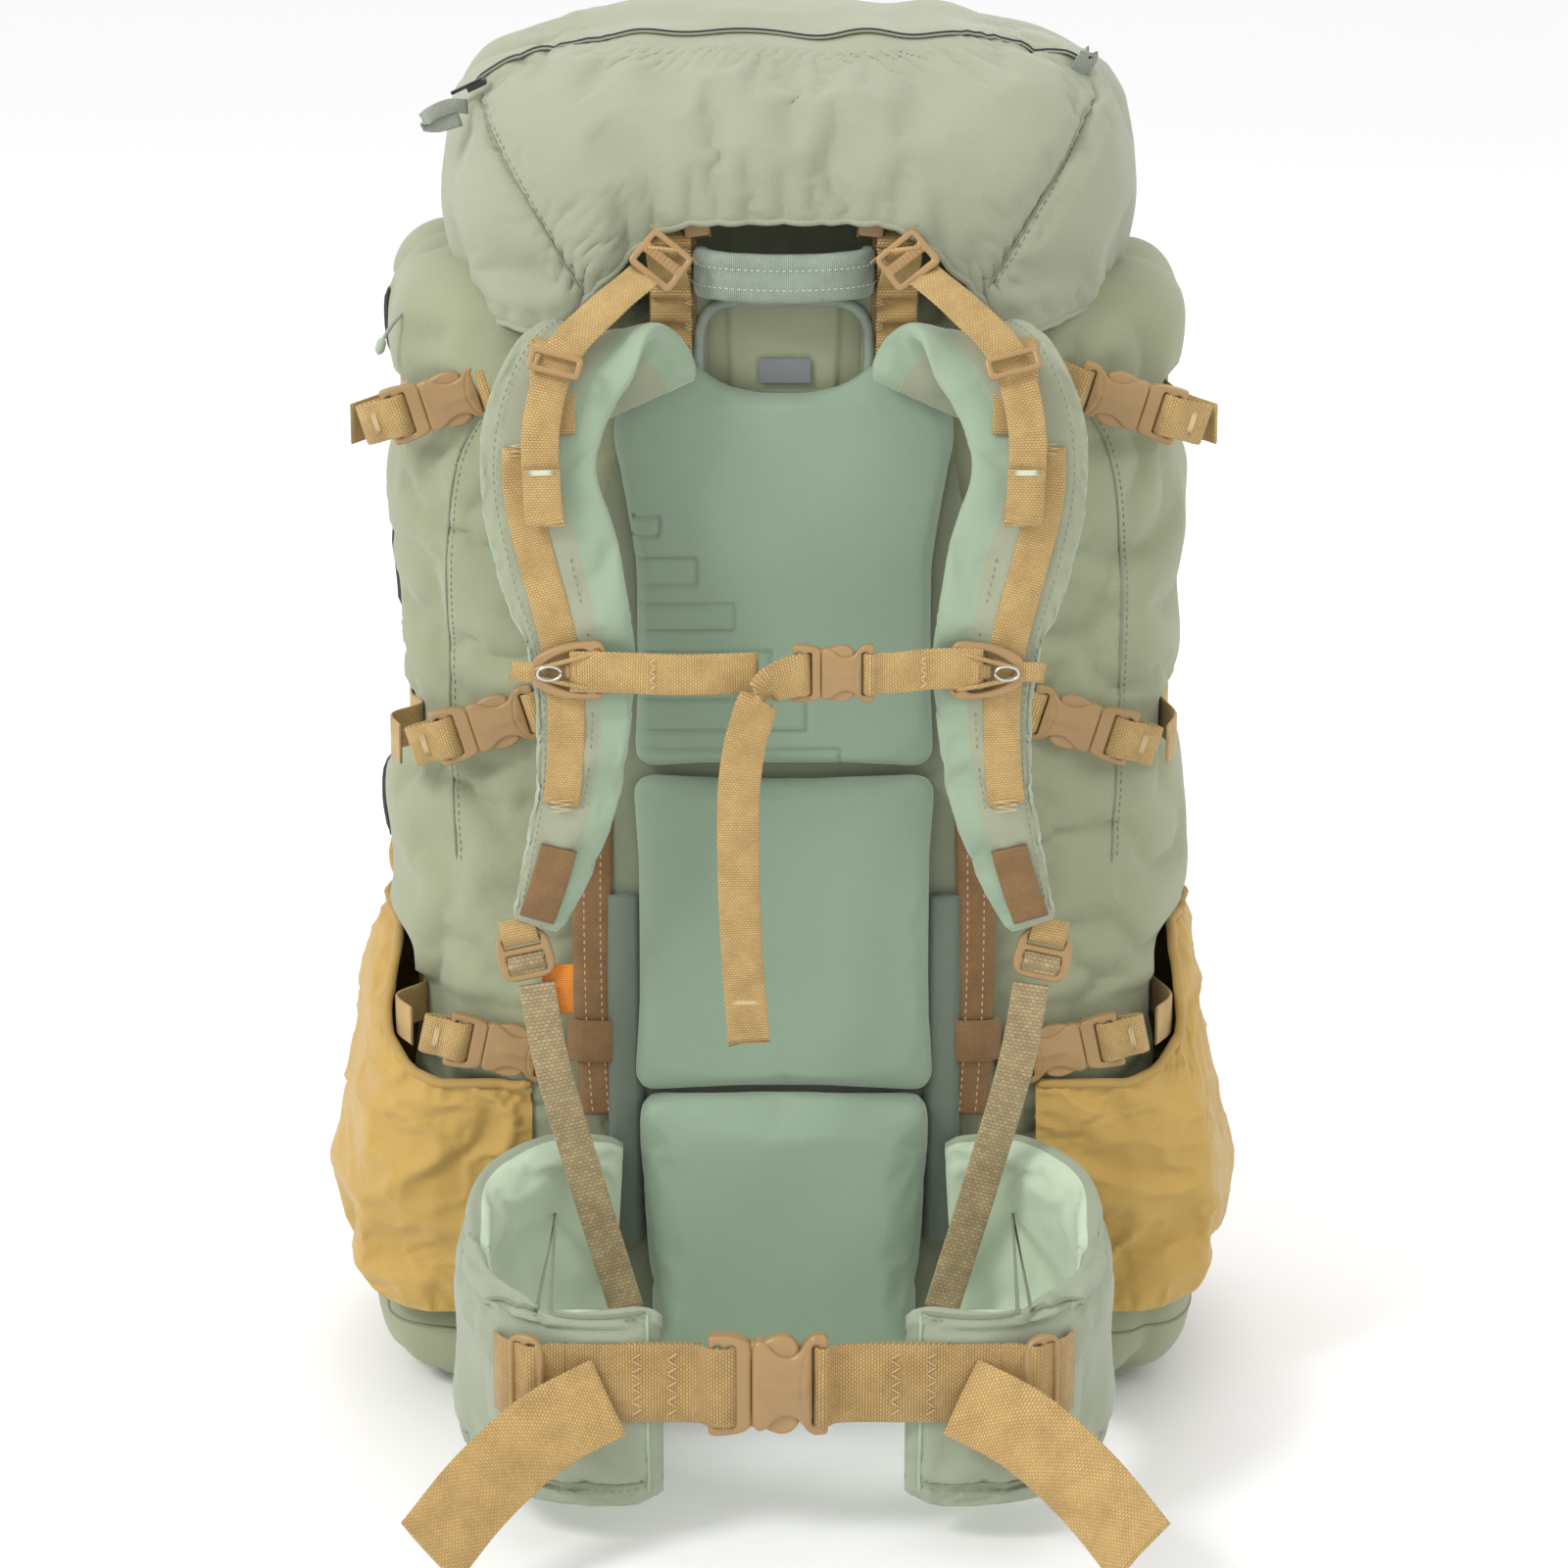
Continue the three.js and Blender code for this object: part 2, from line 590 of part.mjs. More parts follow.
// ---- lid ----
function makeLid() {
  const ring = (level) => levelRing(level, LID_SQUARENESS, BAG_SIDES);
  const inside = LID_INSIDE.map(ring).reverse();
  const whole = solidOf(loft([...inside, ...LID_OUTSIDE.map(ring)]));
  const arch = new THREE.Shape();
  const { foot, footZ, knee, kneeZ, crown } = LID_ARCH;
  arch.moveTo(-foot - 8, footZ - 10);
  arch.lineTo(foot + 8, footZ - 10);
  arch.lineTo(knee, kneeZ);
  arch.lineTo(crown, LID_HINGE.z);
  arch.lineTo(-crown, LID_HINGE.z);
  arch.lineTo(-knee, kneeZ);
  add("lid", geometryOf(whole.subtract(solidOf(standingPlate(arch, -60, 90)))), material.shell);

  // The zip follows an arc over the lid, and its slider starts at the arc's left end.
  const slider = add("lid_zip_slider", zipSlider(16), material.hardware);
  const angle = radians(LID_ZIP.angle);
  const { z, radius, y } = LID_ZIP;
  const outward = new THREE.Vector3(-Math.sin(angle), 0, Math.cos(angle));
  const along = new THREE.Vector3(Math.cos(angle), 0, Math.sin(angle));
  const across = new THREE.Vector3(0, -1, 0);
  slider.position.copy(outward).multiplyScalar(radius).add(new THREE.Vector3(0, y, z));
  slider.quaternion.setFromRotationMatrix(
    new THREE.Matrix4().makeBasis(across, outward.clone().negate(), along),
  );
}

// The strap that holds the lid shut behind: webbing and plug on the lid, socket on the bag.
function makeLidStrap() {
  const { y, z } = LID_BUCKLE;
  const size = BUCKLES.lid;
  for (const [name, made] of [["lid_plug", bucklePlug(size)], ["lid_socket", buckleSocket(size)]]) {
    const piece = add(name, made, material.hardware);
    piece.position.set(0, y, z);
    piece.rotation.y = Math.PI / 2;
  }
  const run = [[0, y, z + 18], [0, 294, 779], [0, 291.4, 790], [0, 288.8, 800], [0, 280, 818], [0, 271, 834]];
  add("lid_webbing", webbing(run, WEB, WEB_THICK, ACROSS_X), material.webbing);
}

// ---- side compression ----
function makeSideCompression() {
  const size = BUCKLES.side;
  for (const level of SIDE_LEVELS) {
    for (const [side, keep] of SIDES) {
      const parts = [["plug", bucklePlug(size)], ["socket", buckleSocket(size)]];
      for (const [part, made] of parts) {
        const piece = add(`side_${part}_${level.name}_${side}`, made, material.hardware);
        piece.position.set(-keep * level.x, level.y, level.z);
        piece.rotation.set(0, keep > 0 ? 0 : Math.PI, 0);
        piece.rotateY(-keep * radians(level.lean));
      }
    }
    // One strap runs from the left plug round the back of the bag to the right plug.
    const out = size.base + RELEASE_TRAVEL + 1;
    const low = level.z - out * Math.sin(radians(level.lean));
    const { start, side } = level;
    const half = [
      [start[0], start[1], low],
      [(start[0] + side) / 2 + 2, (start[1] + 74) / 2 - 10, low],
      [side + 1, 74, low],
      [side, 150, low],
      [side - 3, 222, low],
      [side - 28, 272, low],
      [170, 291, low],
      [80, 293, low],
    ];
    const path = [...mirrored(half), [0, 293, low], ...half.slice().reverse()];
    const name = `compression_strap_${level.name}`;
    add(name, webbing(path, WEB, WEB_THICK, ACROSS_Z), material.webbing);
  }
}

function makeSideZip() {
  const slider = add("side_zip_slider", zipSlider(24), material.hardware);
  slider.position.set(SIDE_ZIP.x, SIDE_ZIP.y, SIDE_ZIP.z);
  slider.rotation.set(0, 0, -Math.PI / 2);
}

makeBag();
makeSidePockets();
makeFrame();
makeBackPanel();
makeShoulderHarness();
makeSternumStrap();
makeHipBelt();
makeLid();
makeLidStrap();
makeSideCompression();
makeSideZip();

export default backpack;
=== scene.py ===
"""A framed hunting backpack, seen from its harness side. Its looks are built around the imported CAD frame."""
import math

import bmesh
import bpy
import numpy as np
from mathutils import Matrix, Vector
from mathutils.bvhtree import BVHTree


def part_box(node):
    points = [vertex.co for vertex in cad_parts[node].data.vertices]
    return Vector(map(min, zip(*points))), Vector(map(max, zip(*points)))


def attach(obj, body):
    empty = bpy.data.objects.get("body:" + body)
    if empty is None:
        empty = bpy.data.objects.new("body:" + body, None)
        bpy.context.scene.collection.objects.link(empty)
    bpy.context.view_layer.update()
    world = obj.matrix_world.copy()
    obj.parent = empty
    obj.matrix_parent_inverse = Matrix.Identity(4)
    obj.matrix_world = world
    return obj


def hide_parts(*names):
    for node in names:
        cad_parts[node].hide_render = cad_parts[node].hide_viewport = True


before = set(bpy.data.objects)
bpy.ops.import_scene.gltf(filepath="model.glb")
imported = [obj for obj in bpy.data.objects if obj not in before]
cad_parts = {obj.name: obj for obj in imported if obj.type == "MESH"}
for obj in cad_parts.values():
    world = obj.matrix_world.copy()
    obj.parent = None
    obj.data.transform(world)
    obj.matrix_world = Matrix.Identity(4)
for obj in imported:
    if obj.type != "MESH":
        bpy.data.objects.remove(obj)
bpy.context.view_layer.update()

# ---- sizes, in metres. x is to the right, y away from the wearer, z up ----
MM = 0.001
LEFT_AND_RIGHT = (("left", 1), ("right", -1))  # the number keeps or mirrors the left side's shape
WEB = 25 * MM
WIDE_WEB = 50 * MM
SHOULDER_WEB = 22 * MM
WEB_THICK = 1.8 * MM


# ---- small geometry helpers ----
def mm(points):
    """Places in millimetres, as an array in metres."""
    return np.array(points, float) * MM


def mirrored(points, keep):
    """The same places on the other side of the pack, where keep is -1."""
    out = np.array(points, float)
    out[..., 0] *= keep
    return out


def unit(vectors):
    vectors = np.asarray(vectors, float)
    return vectors / np.maximum(np.linalg.norm(vectors, axis=-1, keepdims=True), 1e-12)


def knot_blend(p, knots, t):
    """One point of a centripetal Catmull-Rom piece, by its pyramid of straight blends."""
    level = list(p)
    for depth in range(1, 4):
        spans = [1, 1, 1] if depth == 1 else [2, 2] if depth == 2 else [1]
        out = []
        for i in range(len(spans)):
            low, high = (knots[1], knots[2]) if depth == 3 else (knots[i], knots[i + depth])
            share = (t - low) / (high - low)
            out.append((1 - share) * level[i] + share * level[i + 1])
        level = out
    return level[0]


def smooth(points, step=3 * MM):
    """Points about a step apart on a smooth curve. Columns after the third go along with it."""
    p = np.asarray(points, float)
    ends = [2 * p[0] - p[1], *p, 2 * p[-1] - p[-2]]
    out = []
    for four in zip(ends, ends[1:], ends[2:], ends[3:]):
        gaps = [max(np.linalg.norm((b - a)[:3]), 1e-7) ** 0.5 for a, b in zip(four, four[1:])]
        knots = np.cumsum([0.0] + gaps)
        count = max(2, round(np.linalg.norm((four[2] - four[1])[:3]) / step))
        for t in np.linspace(knots[1], knots[2], count, endpoint=False):
            out.append(knot_blend(four, knots, t))
    out.append(p[-1])
    return np.array(out)


def resample(points, count):
    """The same line with evenly spaced points."""
    p = np.asarray(points, float)
    along = np.concatenate([[0], np.cumsum(np.linalg.norm(np.diff(p[:, :3], axis=0), axis=1))])
    wanted = np.linspace(0, along[-1], count)
    return np.stack([np.interp(wanted, along, p[:, i]) for i in range(p.shape[1])], 1)


def lengths(points):
    """How far along the line each point is."""
    return np.concatenate([[0], np.cumsum(np.linalg.norm(np.diff(points[:, :3], axis=0), axis=1))])


def ripple(places, size, seed, stretch=(1, 1, 1), waves=14):
    """A smooth random field between about -1 and 1, with lumps of a given size."""
    random = np.random.default_rng(seed)
    directions = unit(random.normal(size=(waves, 3))) * random.uniform(0.55, 1.6, (waves, 1))
    phases = random.uniform(0, 2 * math.pi, waves)
    angles = (np.asarray(places) / np.array(stretch)) @ directions.T * (math.pi / size) + phases
    return np.sin(angles).sum(-1) / math.sqrt(waves)


def creases(places, size, seed, stretch=(1, 1, 1)):
    """Narrow ridges between wide hollows, as in creased cloth: from 0 to 1."""
    return np.exp(-((ripple(places, size, seed, stretch) / 0.35) ** 2))


def bell(x, centre, width):
    return np.exp(-(((x - centre) / width) ** 2))


def ease(x, low, high):
    t = np.clip((x - low) / (high - low), 0, 1)
    return t * t * (3 - 2 * t)


# ---- materials ----
def rgb(red, green, blue):
    """A colour as seen, 0 to 255, in the linear values that shaders take."""
    seen = np.array([red, green, blue]) / 255
    linear = np.where(seen <= 0.04045, seen / 12.92, ((seen + 0.055) / 1.055) ** 2.4)
    return (*linear, 1.0)


def node(tree, kind, **values):
    """A shader node with its properties, and its unlinked inputs by name."""
    made = tree.nodes.new("ShaderNode" + kind)
    for key, value in values.items():
        if key in made.bl_rna.properties:
            setattr(made, key, value)
        else:
            made.inputs[key.replace("_", " ")].default_value = value
    return made


def blank(name, roughness, **sockets):
    material = bpy.data.materials.new(name)
    material.use_nodes = True
    shader = material.node_tree.nodes["Principled BSDF"]
    shader.inputs["Roughness"].default_value = roughness
    for key, value in sockets.items():
        shader.inputs[key.replace("_", " ")].default_value = value
    return material, material.node_tree, shader


def tint(tree, shader, colour, amount, factor):
    """The shader's colour runs from a darker to a lighter one with a factor."""
    ramp = node(tree, "ValToRGB")
    dark, light = ramp.color_ramp.elements
    dark.position, light.position = 0.3, 0.72
    dark.color = [c * (1 - amount) for c in colour[:3]] + [1]
    light.color = [min(1, c * (1 + amount)) for c in colour[:3]] + [1]
    tree.links.new(factor, ramp.inputs["Fac"])
    tree.links.new(ramp.outputs["Color"], shader.inputs["Base Color"])
    return ramp


def total(tree, *terms):
    """The sum of outputs, each times its number."""
    out = None
    for source, factor in terms:
        scaled = node(tree, "Math", operation="MULTIPLY")
        scaled.inputs[1].default_value = factor
        tree.links.new(source, scaled.inputs[0])
        if out is None:
            out = scaled.outputs[0]
            continue
        add = node(tree, "Math", operation="ADD")
        tree.links.new(out, add.inputs[0])
        tree.links.new(scaled.outputs[0], add.inputs[1])
        out = add.outputs[0]
    return out


def bump(tree, shader, height, strength, distance):
    made = node(tree, "Bump", Strength=strength, Distance=distance)
    tree.links.new(height, made.inputs["Height"])
    tree.links.new(made.outputs["Normal"], shader.inputs["Normal"])


def fabric(name, colour, roughness=0.82, sheen=0.25, mottle=0.07, thread=1.0 * MM, depth=0.3):
    """Woven cloth: fine crossed threads, a slightly uneven dye and small soft creases."""
    material, tree, shader = blank(
        name, roughness, Sheen_Weight=sheen, Sheen_Roughness=0.45, Specular_IOR_Level=0.3
    )
    place = node(tree, "TexCoord").outputs["Object"]
    dye = node(tree, "TexNoise", Scale=14.0, Detail=5.0, Roughness=0.6)
    slub = node(tree, "TexNoise", Scale=900.0, Detail=2.0)
    crease = node(tree, "TexNoise", Scale=38.0, Detail=3.0, Roughness=0.55, Distortion=0.6)
    for texture in (dye, slub, crease):
        tree.links.new(place, texture.inputs["Vector"])
    threads = []
    for axis in "XYZ":
        wave = node(tree, "TexWave", bands_direction=axis, Scale=math.pi / 10 / thread)
        tree.links.new(place, wave.inputs["Vector"])
        threads.append((wave.outputs["Fac"], 0.5))
    factor = total(tree, (dye.outputs["Fac"], 0.62), (slub.outputs["Fac"], 0.38))
    tint(tree, shader, colour, mottle, factor)
    height = total(tree, *threads, (slub.outputs["Fac"], 0.9), (crease.outputs["Fac"], 5.0))
    bump(tree, shader, height, depth, 0.6 * MM)
    return material


def weave(name, colour, pitch=(2.3 * MM, 1.35 * MM), second=None, roughness=0.62, depth=0.55):
    """Webbing: rows of yarn across its length, from the UV map in metres."""
    material, tree, shader = blank(name, roughness, Sheen_Weight=0.12, Specular_IOR_Level=0.4)
    place = node(tree, "TexCoord")
    rows = node(tree, "TexBrick", offset=0.5, Scale=100.0, Mortar_Size=0.026, Mortar_Smooth=0.6)
    rows.inputs["Brick Width"].default_value = pitch[0] * 100
    rows.inputs["Row Height"].default_value = pitch[1] * 100
    other = second or [c * 0.86 for c in colour[:3]] + [1]
    rows.inputs["Color1"].default_value = colour
    rows.inputs["Color2"].default_value = other
    rows.inputs["Mortar"].default_value = [c * 0.45 for c in colour[:3]] + [1]
    tree.links.new(place.outputs["UV"], rows.inputs["Vector"])
    dye = node(tree, "TexNoise", Scale=60.0, Detail=3.0)
    tree.links.new(place.outputs["Object"], dye.inputs["Vector"])
    mix = node(tree, "Mix", data_type="RGBA", blend_type="MULTIPLY")
    mix.inputs["Factor"].default_value = 1.0
    ramp = node(tree, "ValToRGB")
    ramp.color_ramp.elements[0].color = (0.82, 0.80, 0.78, 1)
    ramp.color_ramp.elements[1].color = (1, 1, 1, 1)
    ramp.color_ramp.elements[0].position, ramp.color_ramp.elements[1].position = 0.3, 0.62
    tree.links.new(dye.outputs["Fac"], ramp.inputs["Fac"])
    tree.links.new(rows.outputs["Color"], mix.inputs["A"])
    tree.links.new(ramp.outputs["Color"], mix.inputs["B"])
    tree.links.new(mix.outputs["Result"], shader.inputs["Base Color"])
    height = total(tree, (rows.outputs["Fac"], -1.0), (dye.outputs["Fac"], 0.5))
    bump(tree, shader, height, depth, 0.5 * MM)
    return material


def plastic(name, colour, roughness=0.38):
    """Moulded nylon with a fine satin grain."""
    material, tree, shader = blank(name, roughness, Specular_IOR_Level=0.45)
    place = node(tree, "TexCoord").outputs["Object"]
    grain = node(tree, "TexNoise", Scale=1600.0, Detail=2.0)
    flow = node(tree, "TexNoise", Scale=55.0, Detail=3.0)
    for texture in (grain, flow):
        tree.links.new(place, texture.inputs["Vector"])
    tint(tree, shader, colour, 0.06, flow.outputs["Fac"])
    height = total(tree, (grain.outputs["Fac"], 0.4), (flow.outputs["Fac"], 0.6))
    bump(tree, shader, height, 0.12, 0.3 * MM)
    return material


def metal(name, colour, roughness=0.3):
    """Brushed metal."""
    material, tree, shader = blank(name, roughness, Metallic=1.0)
    place = node(tree, "TexCoord").outputs["Object"]
    brushed = node(tree, "TexNoise", Scale=700.0, Detail=2.0)
    tree.links.new(place, brushed.inputs["Vector"])
    tint(tree, shader, colour, 0.08, brushed.outputs["Fac"])
    bump(tree, shader, brushed.outputs["Fac"], 0.15, 0.1 * MM)
    return material


SAGE = fabric("sage_shell", rgb(148, 153, 124), thread=0.9 * MM)
# A darker copy of the shell cloth: painted shade where it colours the frame sheet. It also colours seams, piping
# and zip tape.
SAGE_DARK = fabric("sage_shell_shaded", rgb(128, 135, 112))
LID_CLOTH = fabric("lid_shell", rgb(153, 157, 134), thread=0.9 * MM)
TEAL = fabric("stretch_pad", rgb(133, 153, 131), roughness=0.6, sheen=0.5, mottle=0.04, thread=0.7 * MM,
              depth=0.18)
TEAL_DARK = fabric("stretch_lumbar", rgb(136, 157, 134), roughness=0.6, sheen=0.5, mottle=0.04,
                   thread=0.7 * MM, depth=0.18)
MINT = fabric("mint_foam_cover", rgb(144, 163, 138), roughness=0.62, sheen=0.5, mottle=0.03,
              thread=0.8 * MM, depth=0.15)
STRAP_FACE = fabric("strap_cover", rgb(154, 158, 134), mottle=0.06)
BINDING = fabric("binding_tape", rgb(158, 176, 152), mottle=0.05, depth=0.25)
BELT_CLOTH = fabric("belt_cover", rgb(150, 158, 136), mottle=0.06)
# The belt's inner side: a lightened copy of the mint cover, painted light on a side that is turned away from the
# lamps.
BELT_INNER_PAINTED_LIGHT = fabric("belt_inner", rgb(186, 202, 176), roughness=0.62, sheen=0.5, mottle=0.03,
                    thread=0.8 * MM, depth=0.15)
GREY_SLEEVE = fabric("grey_sleeve", rgb(104, 116, 102), roughness=0.7)
COYOTE = fabric("coyote_pocket", rgb(186, 153, 83), roughness=0.7, mottle=0.06, depth=0.35)
COYOTE_HEM = fabric("coyote_hem", rgb(172, 141, 78), roughness=0.75, mottle=0.08)
TAN_WEB = weave("tan_webbing", rgb(203, 169, 107), pitch=(2.2 * MM, 1.5 * MM))
BELT_WEB = weave("belt_webbing", rgb(186, 152, 94), pitch=(2.6 * MM, 1.7 * MM))
TAIL_WEB = weave("belt_tail_webbing", rgb(204, 168, 104), pitch=(2.6 * MM, 1.7 * MM))
LOWER_WEB = weave("woven_lower_strap", rgb(178, 158, 116), pitch=(3.2 * MM, 2.4 * MM),
                  second=rgb(152, 136, 100))
SLEEVE_WEB = weave("sleeve_webbing", rgb(150, 114, 70))
HANDLE_WEB = weave("handle_webbing", rgb(158, 173, 157), pitch=(1.6 * MM, 1.1 * MM), depth=0.25)
RIBBON_WEB = weave("grey_ribbon", rgb(176, 182, 170), pitch=(1.5 * MM, 1.2 * MM))
LABEL = fabric("plain_label", rgb(118, 122, 124), thread=0.5 * MM)
ORANGE = weave("orange_tab", rgb(250, 150, 40), pitch=(1.6 * MM, 1.1 * MM))
RED = weave("red_tab", rgb(190, 60, 40), pitch=(1.6 * MM, 1.1 * MM))
TAN_PLASTIC = plastic("tan_plastic", rgb(158, 127, 84), roughness=0.3)
BLACK_PLASTIC = plastic("black_plastic", rgb(30, 33, 32), roughness=0.5)
STEEL = metal("brushed_steel", rgb(196, 198, 196))
THREAD_GREEN = fabric("green_thread", rgb(120, 132, 110), thread=0.3 * MM)
THREAD_TAN = fabric("tan_thread", rgb(214, 190, 146), thread=0.3 * MM)
THREAD_PALE = fabric("pale_thread", rgb(214, 218, 196), thread=0.3 * MM)
ZIP_TAPE = fabric("zip_tape", rgb(58, 62, 54), roughness=0.7, thread=0.6 * MM)


# ---- mesh makers ----
def new_mesh(name, points, faces, materials, corner_uvs=None, face_materials=None, sharp=False):
    mesh = bpy.data.meshes.new(name)
    mesh.from_pydata([tuple(p) for p in points], [], faces)
    for material in materials:
        mesh.materials.append(material)
    if face_materials is not None:
        mesh.polygons.foreach_set("material_index", np.asarray(face_materials, np.int32))
    mesh.polygons.foreach_set("use_smooth", np.full(len(mesh.polygons), not sharp))
    if corner_uvs is not None:
        layer = mesh.uv_layers.new(name="UVMap")
        layer.data.foreach_set("uv", np.asarray(corner_uvs, np.float32).ravel())
    mesh.update()
    made = bpy.data.objects.new(name, mesh)
    bpy.context.scene.collection.objects.link(made)
    return made


def grid_mesh(name, points, materials, uvs=None, wrap=False, caps=False, columns=None):
    """A mesh over rows and columns of points. columns gives a material number for each column of faces."""
    rows, cols = points.shape[:2]
    across = cols if wrap else cols - 1
    faces, corner_uvs, numbers = [], [], []
    if uvs is None:
        v = np.cumsum(np.r_[0, np.linalg.norm(np.diff(points[:, 0], axis=0), axis=1)])
        around = np.r_[points[rows // 2], points[rows // 2][:1]] if wrap else points[rows // 2]
        u = np.cumsum(np.r_[0, np.linalg.norm(np.diff(around, axis=0), axis=1)])
    else:
        u, v = uvs
    for r in range(rows - 1):
        for c in range(across):
            d = (c + 1) % cols
            faces.append((r * cols + c, r * cols + d, (r + 1) * cols + d, (r + 1) * cols + c))
            end = c + 1 if c + 1 < len(u) else c
            corner_uvs += [(u[c], v[r]), (u[end], v[r]), (u[end], v[r + 1]), (u[c], v[r + 1])]
            numbers.append(0 if columns is None else columns[c])
    if caps:
        for r, order in ((0, -1), (rows - 1, 1)):
            faces.append(tuple(r * cols + c for c in range(cols))[::order])
            corner_uvs += [(u[min(c, len(u) - 1)], v[r]) for c in range(cols)][::order]
            numbers.append(0 if columns is None else columns[0])
    return new_mesh(name, points.reshape(-1, 3), faces, materials, corner_uvs, numbers)


def frames_along(path, across):
    """Directions along a line, across it and out of it."""
    forward = unit(np.gradient(path[:, :3], axis=0))
    across = np.broadcast_to(np.asarray(across, float), forward.shape)
    across = unit(across - (across * forward).sum(1, keepdims=True) * forward)
    return forward, across, unit(np.cross(forward, across))


def ribbon(name, stations, width, body, material=None, across=(1, 0, 0), thick=WEB_THICK, step=3 * MM,
           curved=True, cup=0.0):
    """A flat woven strap along stations in metres. Stations may hold their own across direction as well."""
    path = smooth(stations, step) if curved else np.asarray(stations, float)
    if path.shape[1] >= 6:
        across = path[:, 3:6]
    _, side, out = frames_along(path, across)
    a, b = width / 2, thick / 2
    section = [(-a + b, b), (-a * 0.5, b), (0, b), (a * 0.5, b), (a - b, b), (a, b * 0.35), (a, -b * 0.35),
               (a - b, -b), (0, -b), (-a + b, -b), (-a, -b * 0.35), (-a, b * 0.35)]
    flat = np.array(section)
    height = flat[:, 1] + cup * (flat[:, 0] / a) ** 2
    rows = path[:, None, :3] + side[:, None] * flat[None, :, :1] + out[:, None] * height[None, :, None]
    u = np.r_[flat[:, 0], flat[0, 0]]
    made = grid_mesh(name, rows, [material or TAN_WEB], (u, lengths(path)), wrap=True, caps=True)
    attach(made, body)
    return made


def tube(name, stations, radius, body, material, sides=10, curved=True, step=3 * MM):
    """A round cord or piped edge along stations in metres."""
    path = smooth(stations, step) if curved else np.asarray(stations, float)
    forward = unit(np.gradient(path[:, :3], axis=0))
    helper = np.array([0.3, 0.2, 1.0]) if abs(forward[0, 2]) < 0.8 else np.array([1.0, 0.3, 0.1])
    _, side, out = frames_along(path, helper)
    turn = np.linspace(0, 2 * math.pi, sides, endpoint=False)
    circle = side[:, None] * np.cos(turn)[None, :, None] + out[:, None] * np.sin(turn)[None, :, None]
    to_end = np.minimum(lengths(path), lengths(path)[-1] - lengths(path))
    ends = np.minimum(1, np.sqrt(to_end / radius + 0.05))
    made = grid_mesh(name, path[:, None, :3] + circle * (radius * ends)[:, None, None], [material],
                     (np.linspace(0, 2 * math.pi * radius, sides + 1), lengths(path)), wrap=True, caps=True)
    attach(made, body)
    return made


stitch_lists = {}


def stitch(points, body, material, raise_by=(0, 0, 0)):
    """Each pair of neighbouring points becomes one thread. They are made together at the end."""
    lifted = np.asarray(points, float)[:, :3] + np.asarray(raise_by)
    stitch_lists.setdefault((body, material.name), []).extend(zip(lifted[:-1], lifted[1:]))


def dashes(line, body, material, length=3.2 * MM, gap=1.8 * MM, raise_by=(0, 0, 0)):
    """A running stitch along a line."""
    line = np.asarray(line, float)[:, :3] + np.asarray(raise_by)
    along = lengths(line)
    starts = np.arange(0, along[-1] - length, length + gap)
    pairs = stitch_lists.setdefault((body, material.name), [])
    for start in starts:
        pair = [np.array([np.interp(s, along, line[:, i]) for i in range(3)]) for s in (start,
                                                                                        start + length)]
        pairs.append(tuple(pair))


def zigzag(centre, across, along, width, length, count, body, material):
    """A sewn zigzag about a centre, count points long."""
    across, along = np.asarray(across, float), np.asarray(along, float)
    points = []
    for i in range(count + 1):
        sign = 0.5 if i % 2 else -0.5
        points.append(np.asarray(centre) + along * length * (i / count - 0.5) + across * width * sign)
    stitch(points, body, material)


def make_stitches():
    thick = 0.36 * MM
    for (body, tone), pairs in stitch_lists.items():
        points, faces = [], []
        for a, b in pairs:
            run = unit(b - a)
            side = unit(np.cross(run, [0.31, 0.87, 0.38]))
            up = np.cross(run, side)
            start = len(points)
            points.append(a)
            for share in (0.25, 0.75):
                for s, u in ((1, 0), (0, 1), (-1, 0), (0, -1)):
                    points.append(a + (b - a) * share + (side * s + up * u) * thick)
            points.append(b)
            for i in range(4):
                j = (i + 1) % 4
                faces.append((start, start + 1 + j, start + 1 + i))
                faces.append((start + 1 + i, start + 1 + j, start + 5 + j, start + 5 + i))
                faces.append((start + 5 + i, start + 5 + j, start + 9))
        made = new_mesh(f"stitching_{body}_{tone}", points, faces, [bpy.data.materials[tone]])
        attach(made, body)


def remeshed(obj, voxel):
    """obj with an even mesh of its outer shape."""
    modifier = obj.modifiers.new("even", "REMESH")
    modifier.mode = "VOXEL"
    modifier.voxel_size = voxel
    modifier.use_smooth_shade = True
    apply_modifiers(obj)
    return obj


def apply_modifiers(obj):
    done = bpy.data.meshes.new_from_object(obj.evaluated_get(bpy.context.evaluated_depsgraph_get()))
    obj.modifiers.clear()
    obj.data = done
    for polygon in done.polygons:
        polygon.use_smooth = True


def vertices_of(obj):
    co = np.zeros(len(obj.data.vertices) * 3)
    obj.data.vertices.foreach_get("co", co)
    return co.reshape(-1, 3)


def put_vertices(obj, places):
    obj.data.vertices.foreach_set("co", np.asarray(places, np.float32).ravel())
    obj.data.update()


